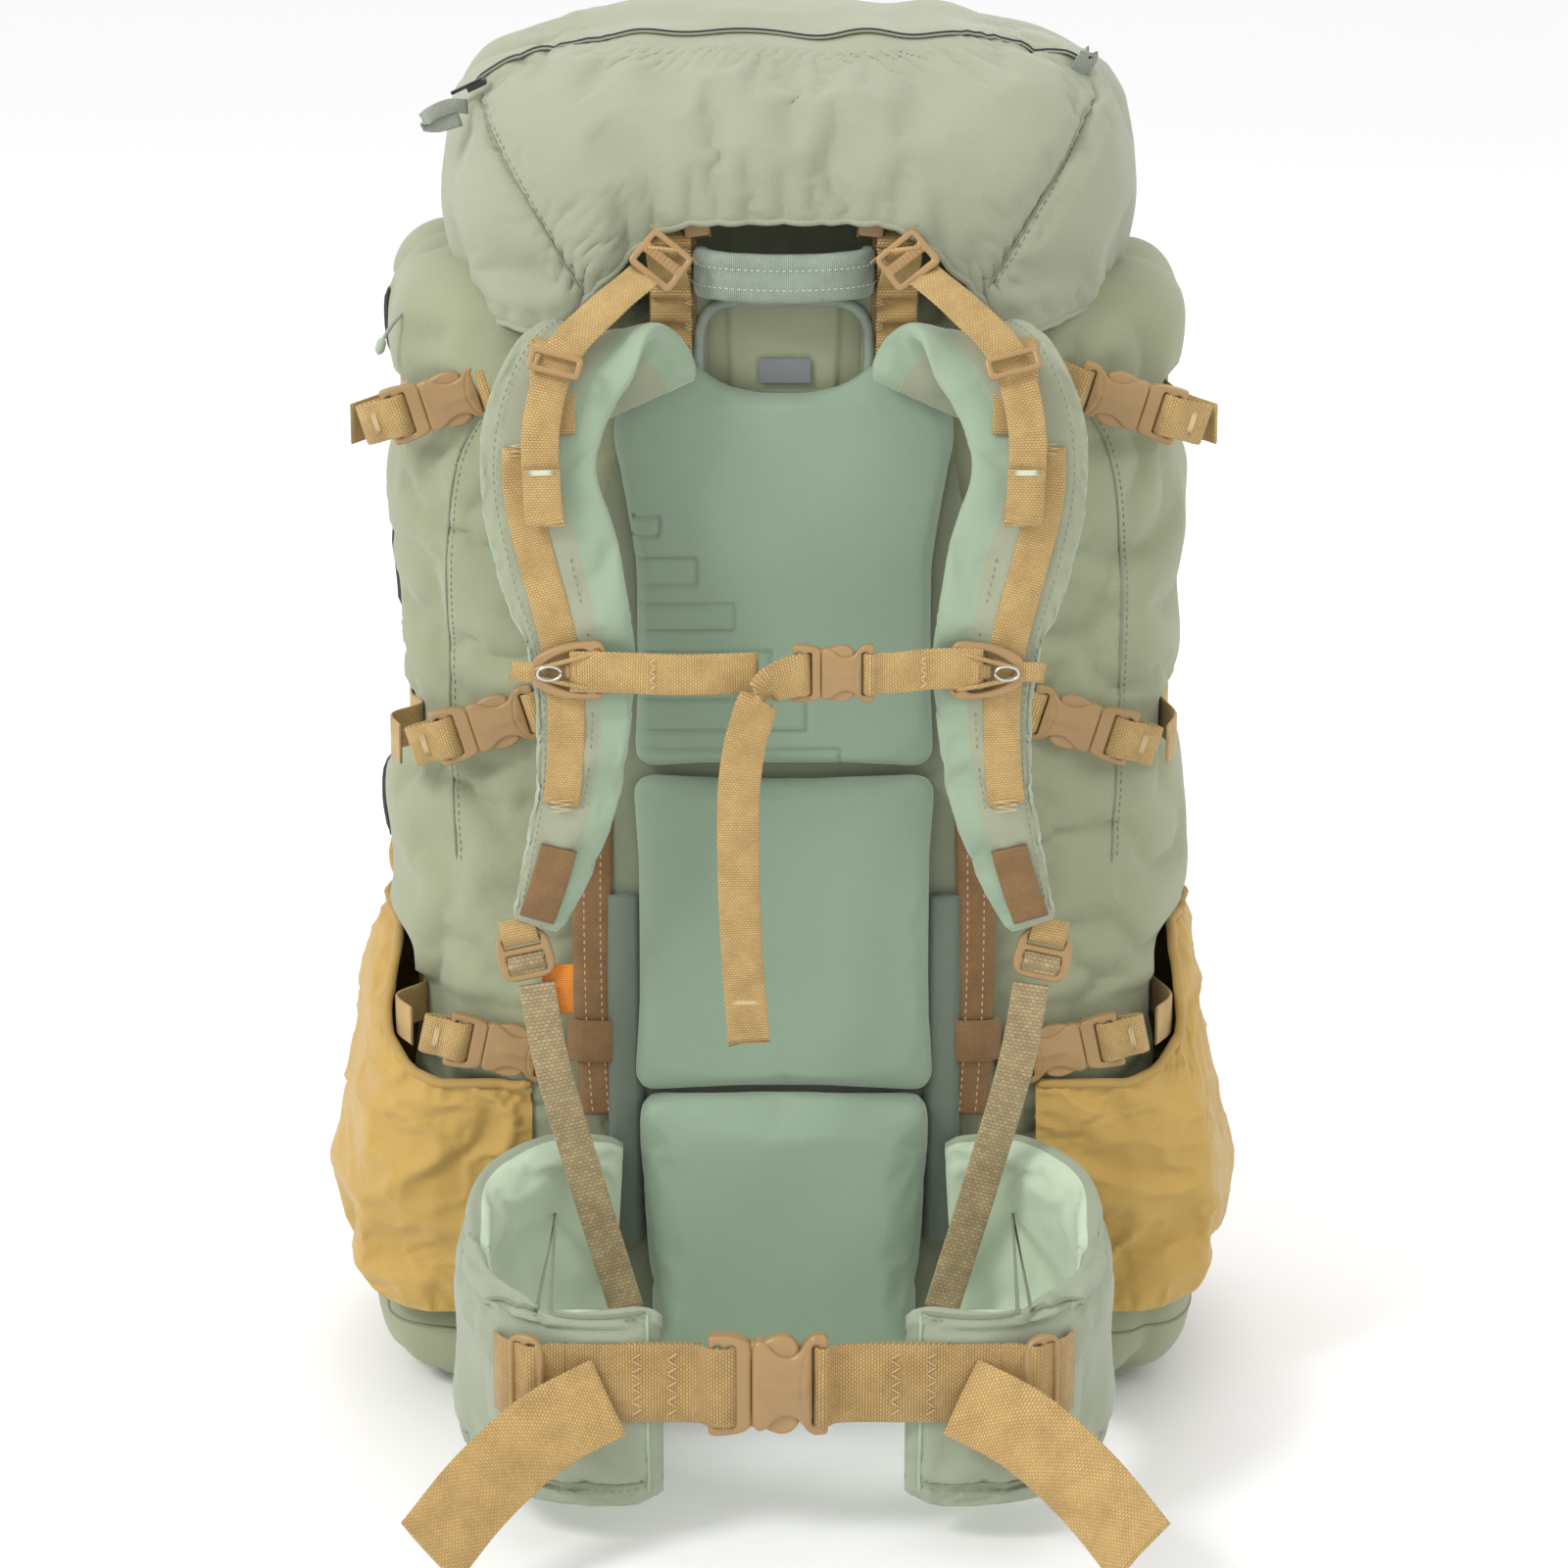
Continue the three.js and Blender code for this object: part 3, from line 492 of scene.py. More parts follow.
def blow_up(obj, pressure=4.0, cap=8 * MM, frames=20, grow=0.0, held=None, stiff=15.0):
    """Cloth simulation with air inside and no gravity. No point moves further than cap."""
    rest = vertices_of(obj)
    cloth = obj.modifiers.new("swell", "CLOTH")
    cloth.settings.use_pressure = pressure != 0
    cloth.settings.uniform_pressure_force = pressure
    cloth.settings.effector_weights.gravity = 0
    cloth.settings.tension_stiffness = stiff
    cloth.settings.compression_stiffness = stiff
    cloth.settings.shrink_min = -grow
    if held is not None:
        group = obj.vertex_groups.new(name="held")
        for index, weight in enumerate(held):
            if weight > 0.01:
                group.add([index], float(weight), "REPLACE")
        cloth.settings.vertex_group_mass = "held"
    cloth.point_cache.frame_start, cloth.point_cache.frame_end = 1, frames
    for number in range(1, frames + 1):
        bpy.context.scene.frame_set(number)
    swollen = bpy.data.meshes.new_from_object(obj.evaluated_get(bpy.context.evaluated_depsgraph_get()))
    moved = np.zeros(len(swollen.vertices) * 3)
    swollen.vertices.foreach_get("co", moved)
    shift = moved.reshape(-1, 3) - rest
    far = np.linalg.norm(shift, axis=1, keepdims=True)
    obj.modifiers.clear()
    obj.vertex_groups.clear()
    bpy.context.scene.frame_set(1)
    put_vertices(obj, rest + shift * np.minimum(1, cap / np.maximum(far, 1e-9)))


def cloth_grid(points, held, wrap=False, pressure=0.6, grow=0.05, cap=12 * MM, bend=6.0, frames=20):
    """The same grid after cloth simulation: the cloth is a little larger than its shape, so it
    creases between the places that are held, from 0 to 1."""
    rest = points.reshape(-1, 3)
    sheet = grid_mesh("settling", points, [SAGE], wrap=wrap)
    cloth = sheet.modifiers.new("settle", "CLOTH")
    cloth.settings.use_pressure = True
    cloth.settings.uniform_pressure_force = pressure
    cloth.settings.effector_weights.gravity = 0
    cloth.settings.shrink_min = -grow
    cloth.settings.bending_stiffness = bend
    cloth.settings.tension_stiffness = 25
    cloth.settings.compression_stiffness = 25
    cloth.settings.shear_stiffness = 8
    cloth.settings.quality = 6
    group = sheet.vertex_groups.new(name="held")
    flat = np.clip(np.broadcast_to(held, points.shape[:2]).reshape(-1), 0, 1)
    for share in np.unique(np.round(flat, 1)):
        if share > 0:
            group.add([int(i) for i in np.nonzero(np.round(flat, 1) == share)[0]], float(share), "REPLACE")
    cloth.settings.vertex_group_mass = "held"
    cloth.point_cache.frame_start, cloth.point_cache.frame_end = 1, frames
    for number in range(1, frames + 1):
        bpy.context.scene.frame_set(number)
    settled = bpy.data.meshes.new_from_object(sheet.evaluated_get(bpy.context.evaluated_depsgraph_get()))
    moved = np.zeros(len(settled.vertices) * 3)
    settled.vertices.foreach_get("co", moved)
    shift = moved.reshape(-1, 3) - rest
    far = np.linalg.norm(shift, axis=1, keepdims=True)
    bpy.data.objects.remove(sheet)
    bpy.data.meshes.remove(settled)
    bpy.context.scene.frame_set(1)
    return (rest + shift * np.minimum(1, cap / np.maximum(far, 1e-9))).reshape(points.shape)


def finer(points, wrap=False):
    """A grid with twice the rows and columns, on smooth curves between its points."""
    def halves(grid, closed):
        before = np.roll(grid, 1, 0) if closed else np.concatenate([2 * grid[:1] - grid[1:2], grid[:-1]])
        after = np.roll(grid, -1, 0) if closed else np.concatenate([grid[1:], 2 * grid[-1:] - grid[-2:-1]])
        beyond = np.roll(grid, -2,
                         0) if closed else np.concatenate([after[1:], 2 * after[-1:] - after[-2:-1]])
        between = (9 * (grid + after) - (before + beyond)) / 16
        both = np.stack([grid, between], 1).reshape(-1, *grid.shape[1:])
        return both if closed else both[:-1]
    rows = halves(points, False)
    return halves(rows.swapaxes(0, 1), wrap).swapaxes(0, 1)


def subdivided(obj, levels=1):
    modifier = obj.modifiers.new("fine", "SUBSURF")
    modifier.levels = modifier.render_levels = levels
    apply_modifiers(obj)


def slab(name, outline, y_wearer, y_pack, material, bevel):
    """A flat pad standing in the x-z plane with rounded edges. The outline holds x and z in metres."""
    mesh = bmesh.new()
    corners = [mesh.verts.new((x, y_pack, z)) for x, z in outline]
    face = mesh.faces.new(corners)
    for vertex in [g for g in bmesh.ops.extrude_face_region(mesh, geom=[face])["geom"]
                   if isinstance(g, bmesh.types.BMVert)]:
        vertex.co.y = y_wearer
    bmesh.ops.recalc_face_normals(mesh, faces=mesh.faces)
    data = bpy.data.meshes.new(name)
    mesh.to_mesh(data)
    mesh.free()
    data.materials.append(material)
    made = bpy.data.objects.new(name, data)
    bpy.context.scene.collection.objects.link(made)
    edge = made.modifiers.new("edge", "BEVEL")
    edge.width = bevel
    edge.segments = 4
    edge.limit_method = "ANGLE"
    edge.angle_limit = math.radians(50)
    apply_modifiers(made)
    return made


def rounded_outline(corners, radius, per_corner=6):
    """A closed outline of x and z with its corners rounded."""
    p = np.asarray(corners, float)
    out = []
    for before, corner, after in zip(np.roll(p, 1, 0), p, np.roll(p, -1, 0)):
        a, b = before - corner, after - corner
        reach = min(radius, 0.45 * np.linalg.norm(a), 0.45 * np.linalg.norm(b))
        start, end = corner + unit(a) * reach, corner + unit(b) * reach
        for t in np.linspace(0, 1, per_corner):
            out.append((1 - t) ** 2 * start + 2 * t * (1 - t) * corner + t * t * end)
    return np.array(out)


def superellipse(half, front, back, power, count):
    """A closed ring of x and y from the middle of the back round by the left side, evenly spaced."""
    turn = np.linspace(0, 2 * math.pi, 721)
    x = -half * np.sign(np.sin(turn)) * np.abs(np.sin(turn)) ** (2 / power)
    y = (front + back) / 2 + (back - front) / 2 * np.sign(np.cos(turn)) * np.abs(np.cos(turn)) ** (2 / power)
    return resample(np.stack([x, y, 0 * x], 1), count + 1)[:-1, :2]


def loft(levels, power, around, rows):
    """Rings of points over smoothed levels of z, half width, front and back."""
    table = resample(smooth(mm(levels), 4 * MM), rows)
    rings = []
    for z, half, front, back in table:
        ring = superellipse(half, front, back, power, around)
        rings.append(np.c_[ring, np.full(len(ring), z)])
    return np.array(rings)


def ring_normals(rings):
    """Directions out of a lofted surface."""
    around = np.roll(rings, -1, 1) - np.roll(rings, 1, 1)
    up = np.gradient(rings, axis=0)
    return unit(np.cross(around, up))


# ---- camera, light and floor ----
def make_stage():
    scene = bpy.context.scene
    camera = bpy.data.objects.new("camera", bpy.data.cameras.new("camera"))
    camera.data.lens = 120
    camera.data.sensor_width = 36
    camera.location = (0, -3.0602, 1.3526)
    aim = Vector((0, 0, 0.417))
    camera.rotation_mode = "QUATERNION"
    camera.rotation_quaternion = (aim - camera.location).to_track_quat("-Z", "Y")
    camera.data.clip_end = 60
    scene.collection.objects.link(camera)
    scene.camera = camera
    scene.view_settings.view_transform = "Standard"

    world = bpy.data.worlds.new("studio")
    scene.world = world
    world.use_nodes = True
    world.node_tree.nodes["Background"].inputs["Color"].default_value = (1.0, 1.0, 1.0, 1)
    world.node_tree.nodes["Background"].inputs["Strength"].default_value = 1.0

    for name, place, size, power in (
        ("key_light", (-2.3, -2.0, 3.0), 1.0, 70),
        ("fill_light", (2.6, -2.2, 1.8), 2.2, 8),
        ("top_light", (0.2, 0.6, 3.4), 2.0, 14),
        ("back_light", (0.4, 3.2, 2.4), 2.4, 14),
    ):
        light = bpy.data.objects.new(name, bpy.data.lights.new(name, "AREA"))
        light.data.size = size
        light.data.energy = power
        light.location = place
        light.rotation_mode = "QUATERNION"
        light.rotation_quaternion = (Vector((0, 0, 0.45)) - Vector(place)).to_track_quat("-Z", "Y")
        scene.collection.objects.link(light)

    bpy.ops.mesh.primitive_plane_add(size=30, location=(0, 0, -0.001))
    floor = bpy.context.object
    floor.name = "floor"
    material, _, shader = blank("pale_floor", 0.7)
    shader.inputs["Base Color"].default_value = (0.93, 0.93, 0.93, 1)
    floor.data.materials.append(material)


# ---- the bag ----
BAG_LEVELS = [(2, 205, 42, 248), (12, 240, 24, 268), (34, 253, 14, 280), (62, 250, 12, 284),
              (110, 236, 10, 287),
              (200, 232, 10, 288), (300, 232, 10, 288), (430, 232, 10, 288), (560, 232, 10, 288),
              (640, 233, 11, 287), (676, 232, 14, 280), (700, 226, 24, 268), (713, 214, 34, 258),
              (724, 180, 45, 249),
              (744, 158, 52, 240), (764, 150, 56, 236)]
BAG_POWER = 4.4
# Side compression straps: where the buckle's halves meet (x, y, z), how far it leans in degrees, and how
# far out the webbing runs at the bag's corner.
SIDE_STRAPS = {"upper": (216, 14, 650, 17, 244), "mid": (190, 4, 451, 17, 240), "lower": (186, 4, 246, -12, 241)}
PLUG_REACH = 43  # from the middle of a side buckle to the end of its plug
BAG_WALL = 4 * MM
BAG_MIDDLE = 140 * MM  # depth of the upright line in the middle of the bag
BAND_STEP = 6  # a compression strap takes every sixth column of the bag's surface
STRAP_LEVELS = {"upper": 637.4 * MM, "mid": 438.4 * MM, "lower": 254.9 * MM}


def keep_behind_pockets(surface):
    """Flattens the sides of the bag where the side pockets lie over them."""
    x, y, z = np.moveaxis(surface, -1, 0)
    limit = np.interp(z, mm([0, 34, 62, 110, 330]), mm([250, 252, 249, 235, 232]))
    covered = ease(z, 50 * MM, 80 * MM) * ease(z, 312 * MM, 284 * MM) * ease(y, 10 * MM, 50 * MM)
    surface[..., 0] += covered * (np.sign(x) * np.minimum(np.abs(x), limit) - x)


def pressed_band(surface, level):
    """Presses the bag's cloth flat under a compression strap and gives the line along the band."""
    z = surface[..., 2]
    under = ease(np.abs(z - level), 22 * MM, 13 * MM)
    line = (surface * under[..., None]).sum(0) / under.sum(0)[:, None]
    line[:, 2] = level
    out = ring_normals(surface)[np.argmin(np.abs(z - level), axis=0), np.arange(surface.shape[1])]
    inward = line - out * 1.5 * MM
    surface[..., :2] += under[..., None] * (inward[None, :, :2] - surface[..., :2])
    return line + out * 0.4 * MM


def surface_tree(grid):
    """A search tree of the outer face of a closed lofted grid, with its faces turned outwards."""
    rows, count = grid.shape[:2]
    faces = []
    for r in range(rows - 1):
        for c in range(count):
            after = (c + 1) % count
            faces.append((r * count + c, r * count + after, (r + 1) * count + after, (r + 1) * count + c))
    return BVHTree.FromPolygons([tuple(v) for v in grid.reshape(-1, 3)], faces)


def clear_of(points, tree, gap):
    """The points, moved out where they are less than gap away from a surface or behind it."""
    moved = points.reshape(-1, 3).copy()
    for i, place in enumerate(moved):
        spot, normal, _, _ = tree.find_nearest(Vector(place), 60 * MM)
        if spot is None:
            continue
        outward = normal if normal.dot(spot - Vector((0, BAG_MIDDLE, spot.z))) > 0 else -normal
        inside_by = gap - (Vector(place) - spot).dot(outward)
        if inside_by > 0:
            moved[i] += np.array(outward) * inside_by
    return moved.reshape(points.shape)


def make_bag():
    outside = loft(BAG_LEVELS, BAG_POWER, 200, 110)
    out = ring_normals(outside)
    x, y, z = np.moveaxis(outside, -1, 0)
    broad, fine = ripple(outside, 110 * MM, 3, (1, 1, 2.4)), ripple(outside, 34 * MM, 4, (1, 1, 2.0))
    lift = 4.5 * MM * broad + 1.6 * MM * fine
    lift += 6.5 * MM * (creases(outside, 120 * MM, 5, (1, 1, 2.2)) - 0.4)
    lift += 3.0 * MM * (creases(outside, 60 * MM, 6, (1.2, 1.2, 0.8)) - 0.4)
    for level in STRAP_LEVELS.values():
        lift += 4 * MM * bell(z, level, 20 * MM) * ease(np.abs(x), 150 * MM, 215 * MM)
    lift -= 5 * MM * bell(z, 700 * MM, 24 * MM) * ease(np.abs(x), 150 * MM, 210 * MM)
    lift *= 0.35 + 0.65 * ease(np.abs(x), 100 * MM, 200 * MM)
    most = 2.5 * MM + 8 * MM * ease(np.abs(x), 120 * MM, 210 * MM)
    lift = np.where(y < 120 * MM, np.minimum(lift, most), lift)
    lift *= ease(z, 0.0, 30 * MM)
    outside = outside - out * lift[..., None]
    x, y, z = np.moveaxis(outside, -1, 0)
    held = np.maximum(ease(z, 30 * MM, 6 * MM), ease(z, 735 * MM, 750 * MM))
    held = np.maximum(held, 0.95 * ease(y, 34 * MM, 16 * MM) * ease(np.abs(x), 175 * MM, 130 * MM))
    for level in STRAP_LEVELS.values():
        held = np.maximum(held, 0.9 * bell(z, level, 14 * MM))
    for seam_at in (-205 * MM, 205 * MM):
        held = np.maximum(held, 0.5 * bell(x, seam_at, 5 * MM) * ease(y, 60 * MM, 20 * MM))
    outside = finer(cloth_grid(outside, held, wrap=True, pressure=0.5, grow=0.045, cap=11 * MM), wrap=True)
    outside = outside + ring_normals(outside) * BAG_WALL
    keep_behind_pockets(outside)
    bands = {name: pressed_band(outside, level) for name, level in STRAP_LEVELS.items()}
    out = ring_normals(outside)
    outside[..., 2] = np.maximum(outside[..., 2], 0.5 * MM)
    inside = outside[::-2] - out[::-2] * BAG_WALL
    inside[..., 2] = np.maximum(inside[..., 2], 5 * MM)
    rim = (outside[-1:] + inside[:1]) / 2 + np.array([0, 0, 2 * MM])
    bag = grid_mesh("bag_shell", np.concatenate([outside, rim, inside]), [SAGE], wrap=True, caps=True)
    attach(bag, "pack")
    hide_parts("bag_body")
    return outside, bands


# ---- the lid ----
LID_LEVELS = [(700, 196, -20, 292), (716, 198, -22, 293), (732, 199, -22, 293), (765, 204, -24, 292),
              (800, 196, -20, 287), (830, 184, 0, 268), (853, 146, 30, 236), (866, 108, 60, 200),
              (873, 60, 96, 160), (874, 12, 124, 136)]
LID_POWER = 3.0
LID_WALL = 3 * MM


def lid_edge(x, y):
    """How high the lid's lower edge is: an arch over the handle, low corners, and level round the back."""
    arch = mm([[0, 772], [56, 771], [74, 764], [92, 748], [112, 728], [128, 708], [140, 701], [156, 703],
               [200, 712]])
    front = np.interp(np.abs(x), arch[:, 0], arch[:, 1])
    return np.where(y < 60 * MM, front, front + (726 * MM - front) * ease(y, 40 * MM, 160 * MM))


def make_lid():
    around, rows = 220, 70
    rings = loft(LID_LEVELS, LID_POWER, around, rows)
    x, y = rings[0, :, 0], rings[0, :, 1]
    edge = lid_edge(x, y)
    high = rings[-1, 0, 2]
    surface = np.zeros_like(rings)
    for c in range(around):
        column = rings[:, c]
        keep = np.linspace(edge[c], high, 400)
        dense = np.stack([np.interp(keep, column[:, 2], column[:, i]) for i in range(3)], 1)
        surface[:, c] = resample(dense, rows)
    out = ring_normals(surface)
    x, y, z = np.moveaxis(surface, -1, 0)
    above = z - edge[None, :]
    front = ease(y, 90 * MM, 0.0)
    arch = front * bell(x, 0.0, 118 * MM)
    puckers = ripple(np.stack([x, 0 * x, z * 0.12], -1), 10 * MM, 8) * 0.6 + ripple(
        np.stack([x, 0 * x, z * 0.25], -1), 21 * MM, 9)
    lift = 4.0 * MM * puckers * arch * np.exp(-above / (26 * MM))
    lift += 3.4 * MM * ripple(surface, 120 * MM, 11, (1, 1, 0.8)) + 1.6 * MM * ripple(surface, 42 * MM, 12,
                                                                                      (0.8, 1, 1.5))
    lift += 4.5 * MM * (creases(surface, 150 * MM, 13, (0.8, 1, 1.4)) - 0.4)
    lift += 5 * MM * arch * np.exp(-above / (14 * MM))
    seam_x = 120 * MM + (z - 729 * MM) * 0.62
    for keep in (1, -1):
        lift += 3.2 * MM * bell(x * keep, seam_x, 3.5 * MM) * front
    surface = surface - out * lift[..., None]
    held = 1.0 * bell(above, 0, 5 * MM)
    for keep in (1, -1):
        held = np.maximum(held, 0.8 * bell(x * keep, seam_x, 5 * MM) * front)
    held = np.maximum(held, 0.7 * bell(y, 70 * MM, 5 * MM) * ease(z, 815 * MM, 830 * MM))
    held = np.maximum(held, ease(z, 846 * MM, 864 * MM))
    surface = finer(cloth_grid(surface, held, wrap=True, pressure=0.8, grow=0.05, cap=10 * MM), wrap=True)
    out = ring_normals(surface)
    inside = surface[::-2]
    surface = surface + out * LID_WALL
    rim = (surface[:1] + inside[-1:]) / 2 + np.array([0, 0, -1.6 * MM])
    lid = grid_mesh("lid_shell", np.concatenate([inside, rim, surface]), [LID_CLOTH], wrap=True, caps=True)
    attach(lid, "lid")
    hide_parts("lid")
    tube("lid_edge_binding", np.r_[rim[0], rim[0][:1]], 2.4 * MM, "lid", LID_CLOTH,
         curved=False)


# ---- side pockets ----
def make_pockets():
    rows, cols = 56, 90
    bag_tree = surface_tree(bag_surface)
    for name, keep in LEFT_AND_RIGHT:
        shares = np.linspace(0, 1, cols)
        bottom = 66 * MM
        levels = np.linspace(0, 1, rows)
        points = np.zeros((rows, cols, 3))
        for c, s in enumerate(shares):
            y_here = np.interp(s, [0, 0.16, 0.3, 0.8, 0.92, 1], mm([6, 6, 30, 240, 262, 272]))
            top = np.interp(y_here, mm([0, 18, 34, 60, 110, 200, 275]),
                            mm([216, 228, 250, 288, 312, 322, 316]))
            z = bottom + (top - bottom) * levels
            half = np.interp(z, mm([0, 34, 62, 110, 330]), mm([238, 253, 250, 237, 233]))
            width = np.interp(s, [0, 0.08, 0.2, 0.32, 0.5, 0.8, 0.93, 1],
                              mm([-78, -52, -16, -3, 0, 0, -14, -40]))
            swell = np.interp(z, mm([60, 72, 90, 130, 180, 230, 290, 330]),
                              mm([6, 26, 40, 44, 40, 30, 16, 6]))
            swell = swell * np.interp(s, [0, 0.12, 0.3, 0.5, 0.8, 0.95, 1], [0, 0.1, 0.72, 1, 0.95, 0.5, 0.1])
            points[:, c, 0] = -(half + width + swell)
            points[:, c, 1] = y_here + np.interp(s, [0, 0.3, 0.5], mm([0, -4, 0])) * np.sin(math.pi * levels)
            points[:, c, 2] = z
        up = np.gradient(points, axis=0)
        along = np.gradient(points, axis=1)
        out = unit(np.cross(along, up)) * -1
        out *= np.sign(out[..., :1].mean()) * -1
        seed = 20 if keep == 1 else 30
        lift = 5 * MM * (creases(points, 46 * MM, seed, (1.2, 1.7, 0.8)) - 0.3)
        lift += 2.6 * MM * (creases(points, 20 * MM, seed + 1, (1.3, 1.8, 0.8)) - 0.3)
        lift += 2.4 * MM * ripple(points, 60 * MM, seed + 2)
        lift *= ease(levels, 0.0, 0.25)[:, None] * ease(levels, 1.02, 0.9)[:, None] * 0.8 + 0.2
        points = points + out * lift[..., None] * (0.25 + 0.45 * levels[:, None, None])
        held = np.maximum(ease(levels, 0.06, 0.0), ease(levels, 0.97, 1.0))[:, None]
        held = np.maximum(held, np.maximum(ease(shares, 0.03, 0.0), ease(shares, 0.97, 1.0))[None, :])
        points = finer(cloth_grid(points, held, pressure=0.5, grow=0.055, cap=12 * MM, bend=6.0))
        points = mirrored(clear_of(mirrored(points, keep), bag_tree, 2.5 * MM), keep)
        out = unit(np.cross(np.gradient(points, axis=1), np.gradient(points, axis=0)))
        out *= -np.sign(out[..., 0].mean())
        points, inner = mirrored(points, keep), mirrored(points - out * 2.5 * MM, keep)[::-1]
        hem_line = points[-1]
        pocket = grid_mesh(f"side_pocket_{name}_cloth", np.concatenate([points, inner]), [COYOTE])
        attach(pocket, "pack")
        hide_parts(f"side_pocket_{name}")
        tube(f"pocket_hem_{name}", hem_line, 3.2 * MM, "pack", COYOTE_HEM, curved=False)


# ---- pads of the back panel ----
YOKE_BARS = [(-75, 590, 578), (-53, 564, 547), (-30, 535, 519), (-8, 506, 490), (14, 476, 456),
             (34, 444, 430)]


def press_bars(obj):
    """Outlined bars pressed into the yoke, starting at its left edge."""
    co = vertices_of(obj)
    x, y, z = co.T
    groove = np.zeros(len(co))
    for right, top, bottom in mm(YOKE_BARS):
        lines = np.minimum(np.abs(z - top), np.abs(z - bottom))
        within = x < right
        end = np.where((z < top) & (z > bottom), np.abs(x - right), 1.0)
        near = np.minimum(np.where(within, lines, 1.0), end)
        groove = np.maximum(groove, np.exp(-((near / (1.3 * MM)) ** 2)))
    front = y < y.mean()
    co[:, 1] += np.where(front & (x > -91 * MM), 2.3 * MM * groove, 0)
    put_vertices(obj, co)


def make_pads():
    yoke_outline = rounded_outline(
        mm([(-92, 431), (92, 431), (92, 560), (97, 592), (105, 640), (98, 668), (74, 684), (58, 686),
            (36, 672),
            (16, 667), (-16, 667), (-36, 672), (-58, 686), (-74, 684), (-98, 668), (-105, 640), (-97, 592),
            (-92, 560)]),
        14 * MM)
    yoke = slab("yoke_pad", yoke_outline, -15 * MM, -4.5 * MM, TEAL, 4 * MM)
    remeshed(yoke, 3 * MM)
    blow_up(yoke, 3.0, 3 * MM)
    subdivided(yoke)
    press_bars(yoke)
    back_outline = rounded_outline(mm([(-93, 222), (93, 222), (93, 428), (-93, 428)]), 13 * MM)
    back = slab("back_pad_cushion", back_outline, -21 * MM, -5 * MM, TEAL, 6 * MM)
    remeshed(back, 4 * MM)
    blow_up(back, 2.2, 4 * MM)
    subdivided(back)
    lumbar_outline = rounded_outline(mm([(-81, 38), (81, 38), (90, 222), (-90, 222)]), 14 * MM)
    lumbar = slab("lumbar_cushion", lumbar_outline, -33 * MM, -5 * MM, TEAL_DARK, 8 * MM)
    remeshed(lumbar, 4 * MM)
    blow_up(lumbar, 2.2, 5 * MM)
    subdivided(lumbar)
    for pad, node_name, fill in ((yoke, "yoke_panel", 0.4), (back, "back_pad", 0.6),
                                 (lumbar, "lumbar_pad", 0.7)):
        co = vertices_of(pad)
        front = ease(co[:, 1], co[:, 1].mean(), co[:, 1].min())
        co[:, 1] += front * 0.9 * MM * ripple(co, 55 * MM, 41)
        put_vertices(pad, co)
        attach(pad, "pack")
        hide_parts(node_name)


# ---- shoulder straps ----
STRAP = [(-78, -26, 664, 64), (-91, -33, 688, 66), (-106, -45, 700, 68), (-125, -62, 690, 70),
         (-139, -73, 664, 70),
         (-143, -80, 630, 70), (-133, -84, 580, 72), (-122, -85, 530, 64), (-120, -85, 490, 57),
         (-124, -81, 440, 50),
         (-136, -73, 390, 42), (-150, -65, 348, 30)]
STRAP_THICK = 15 * MM


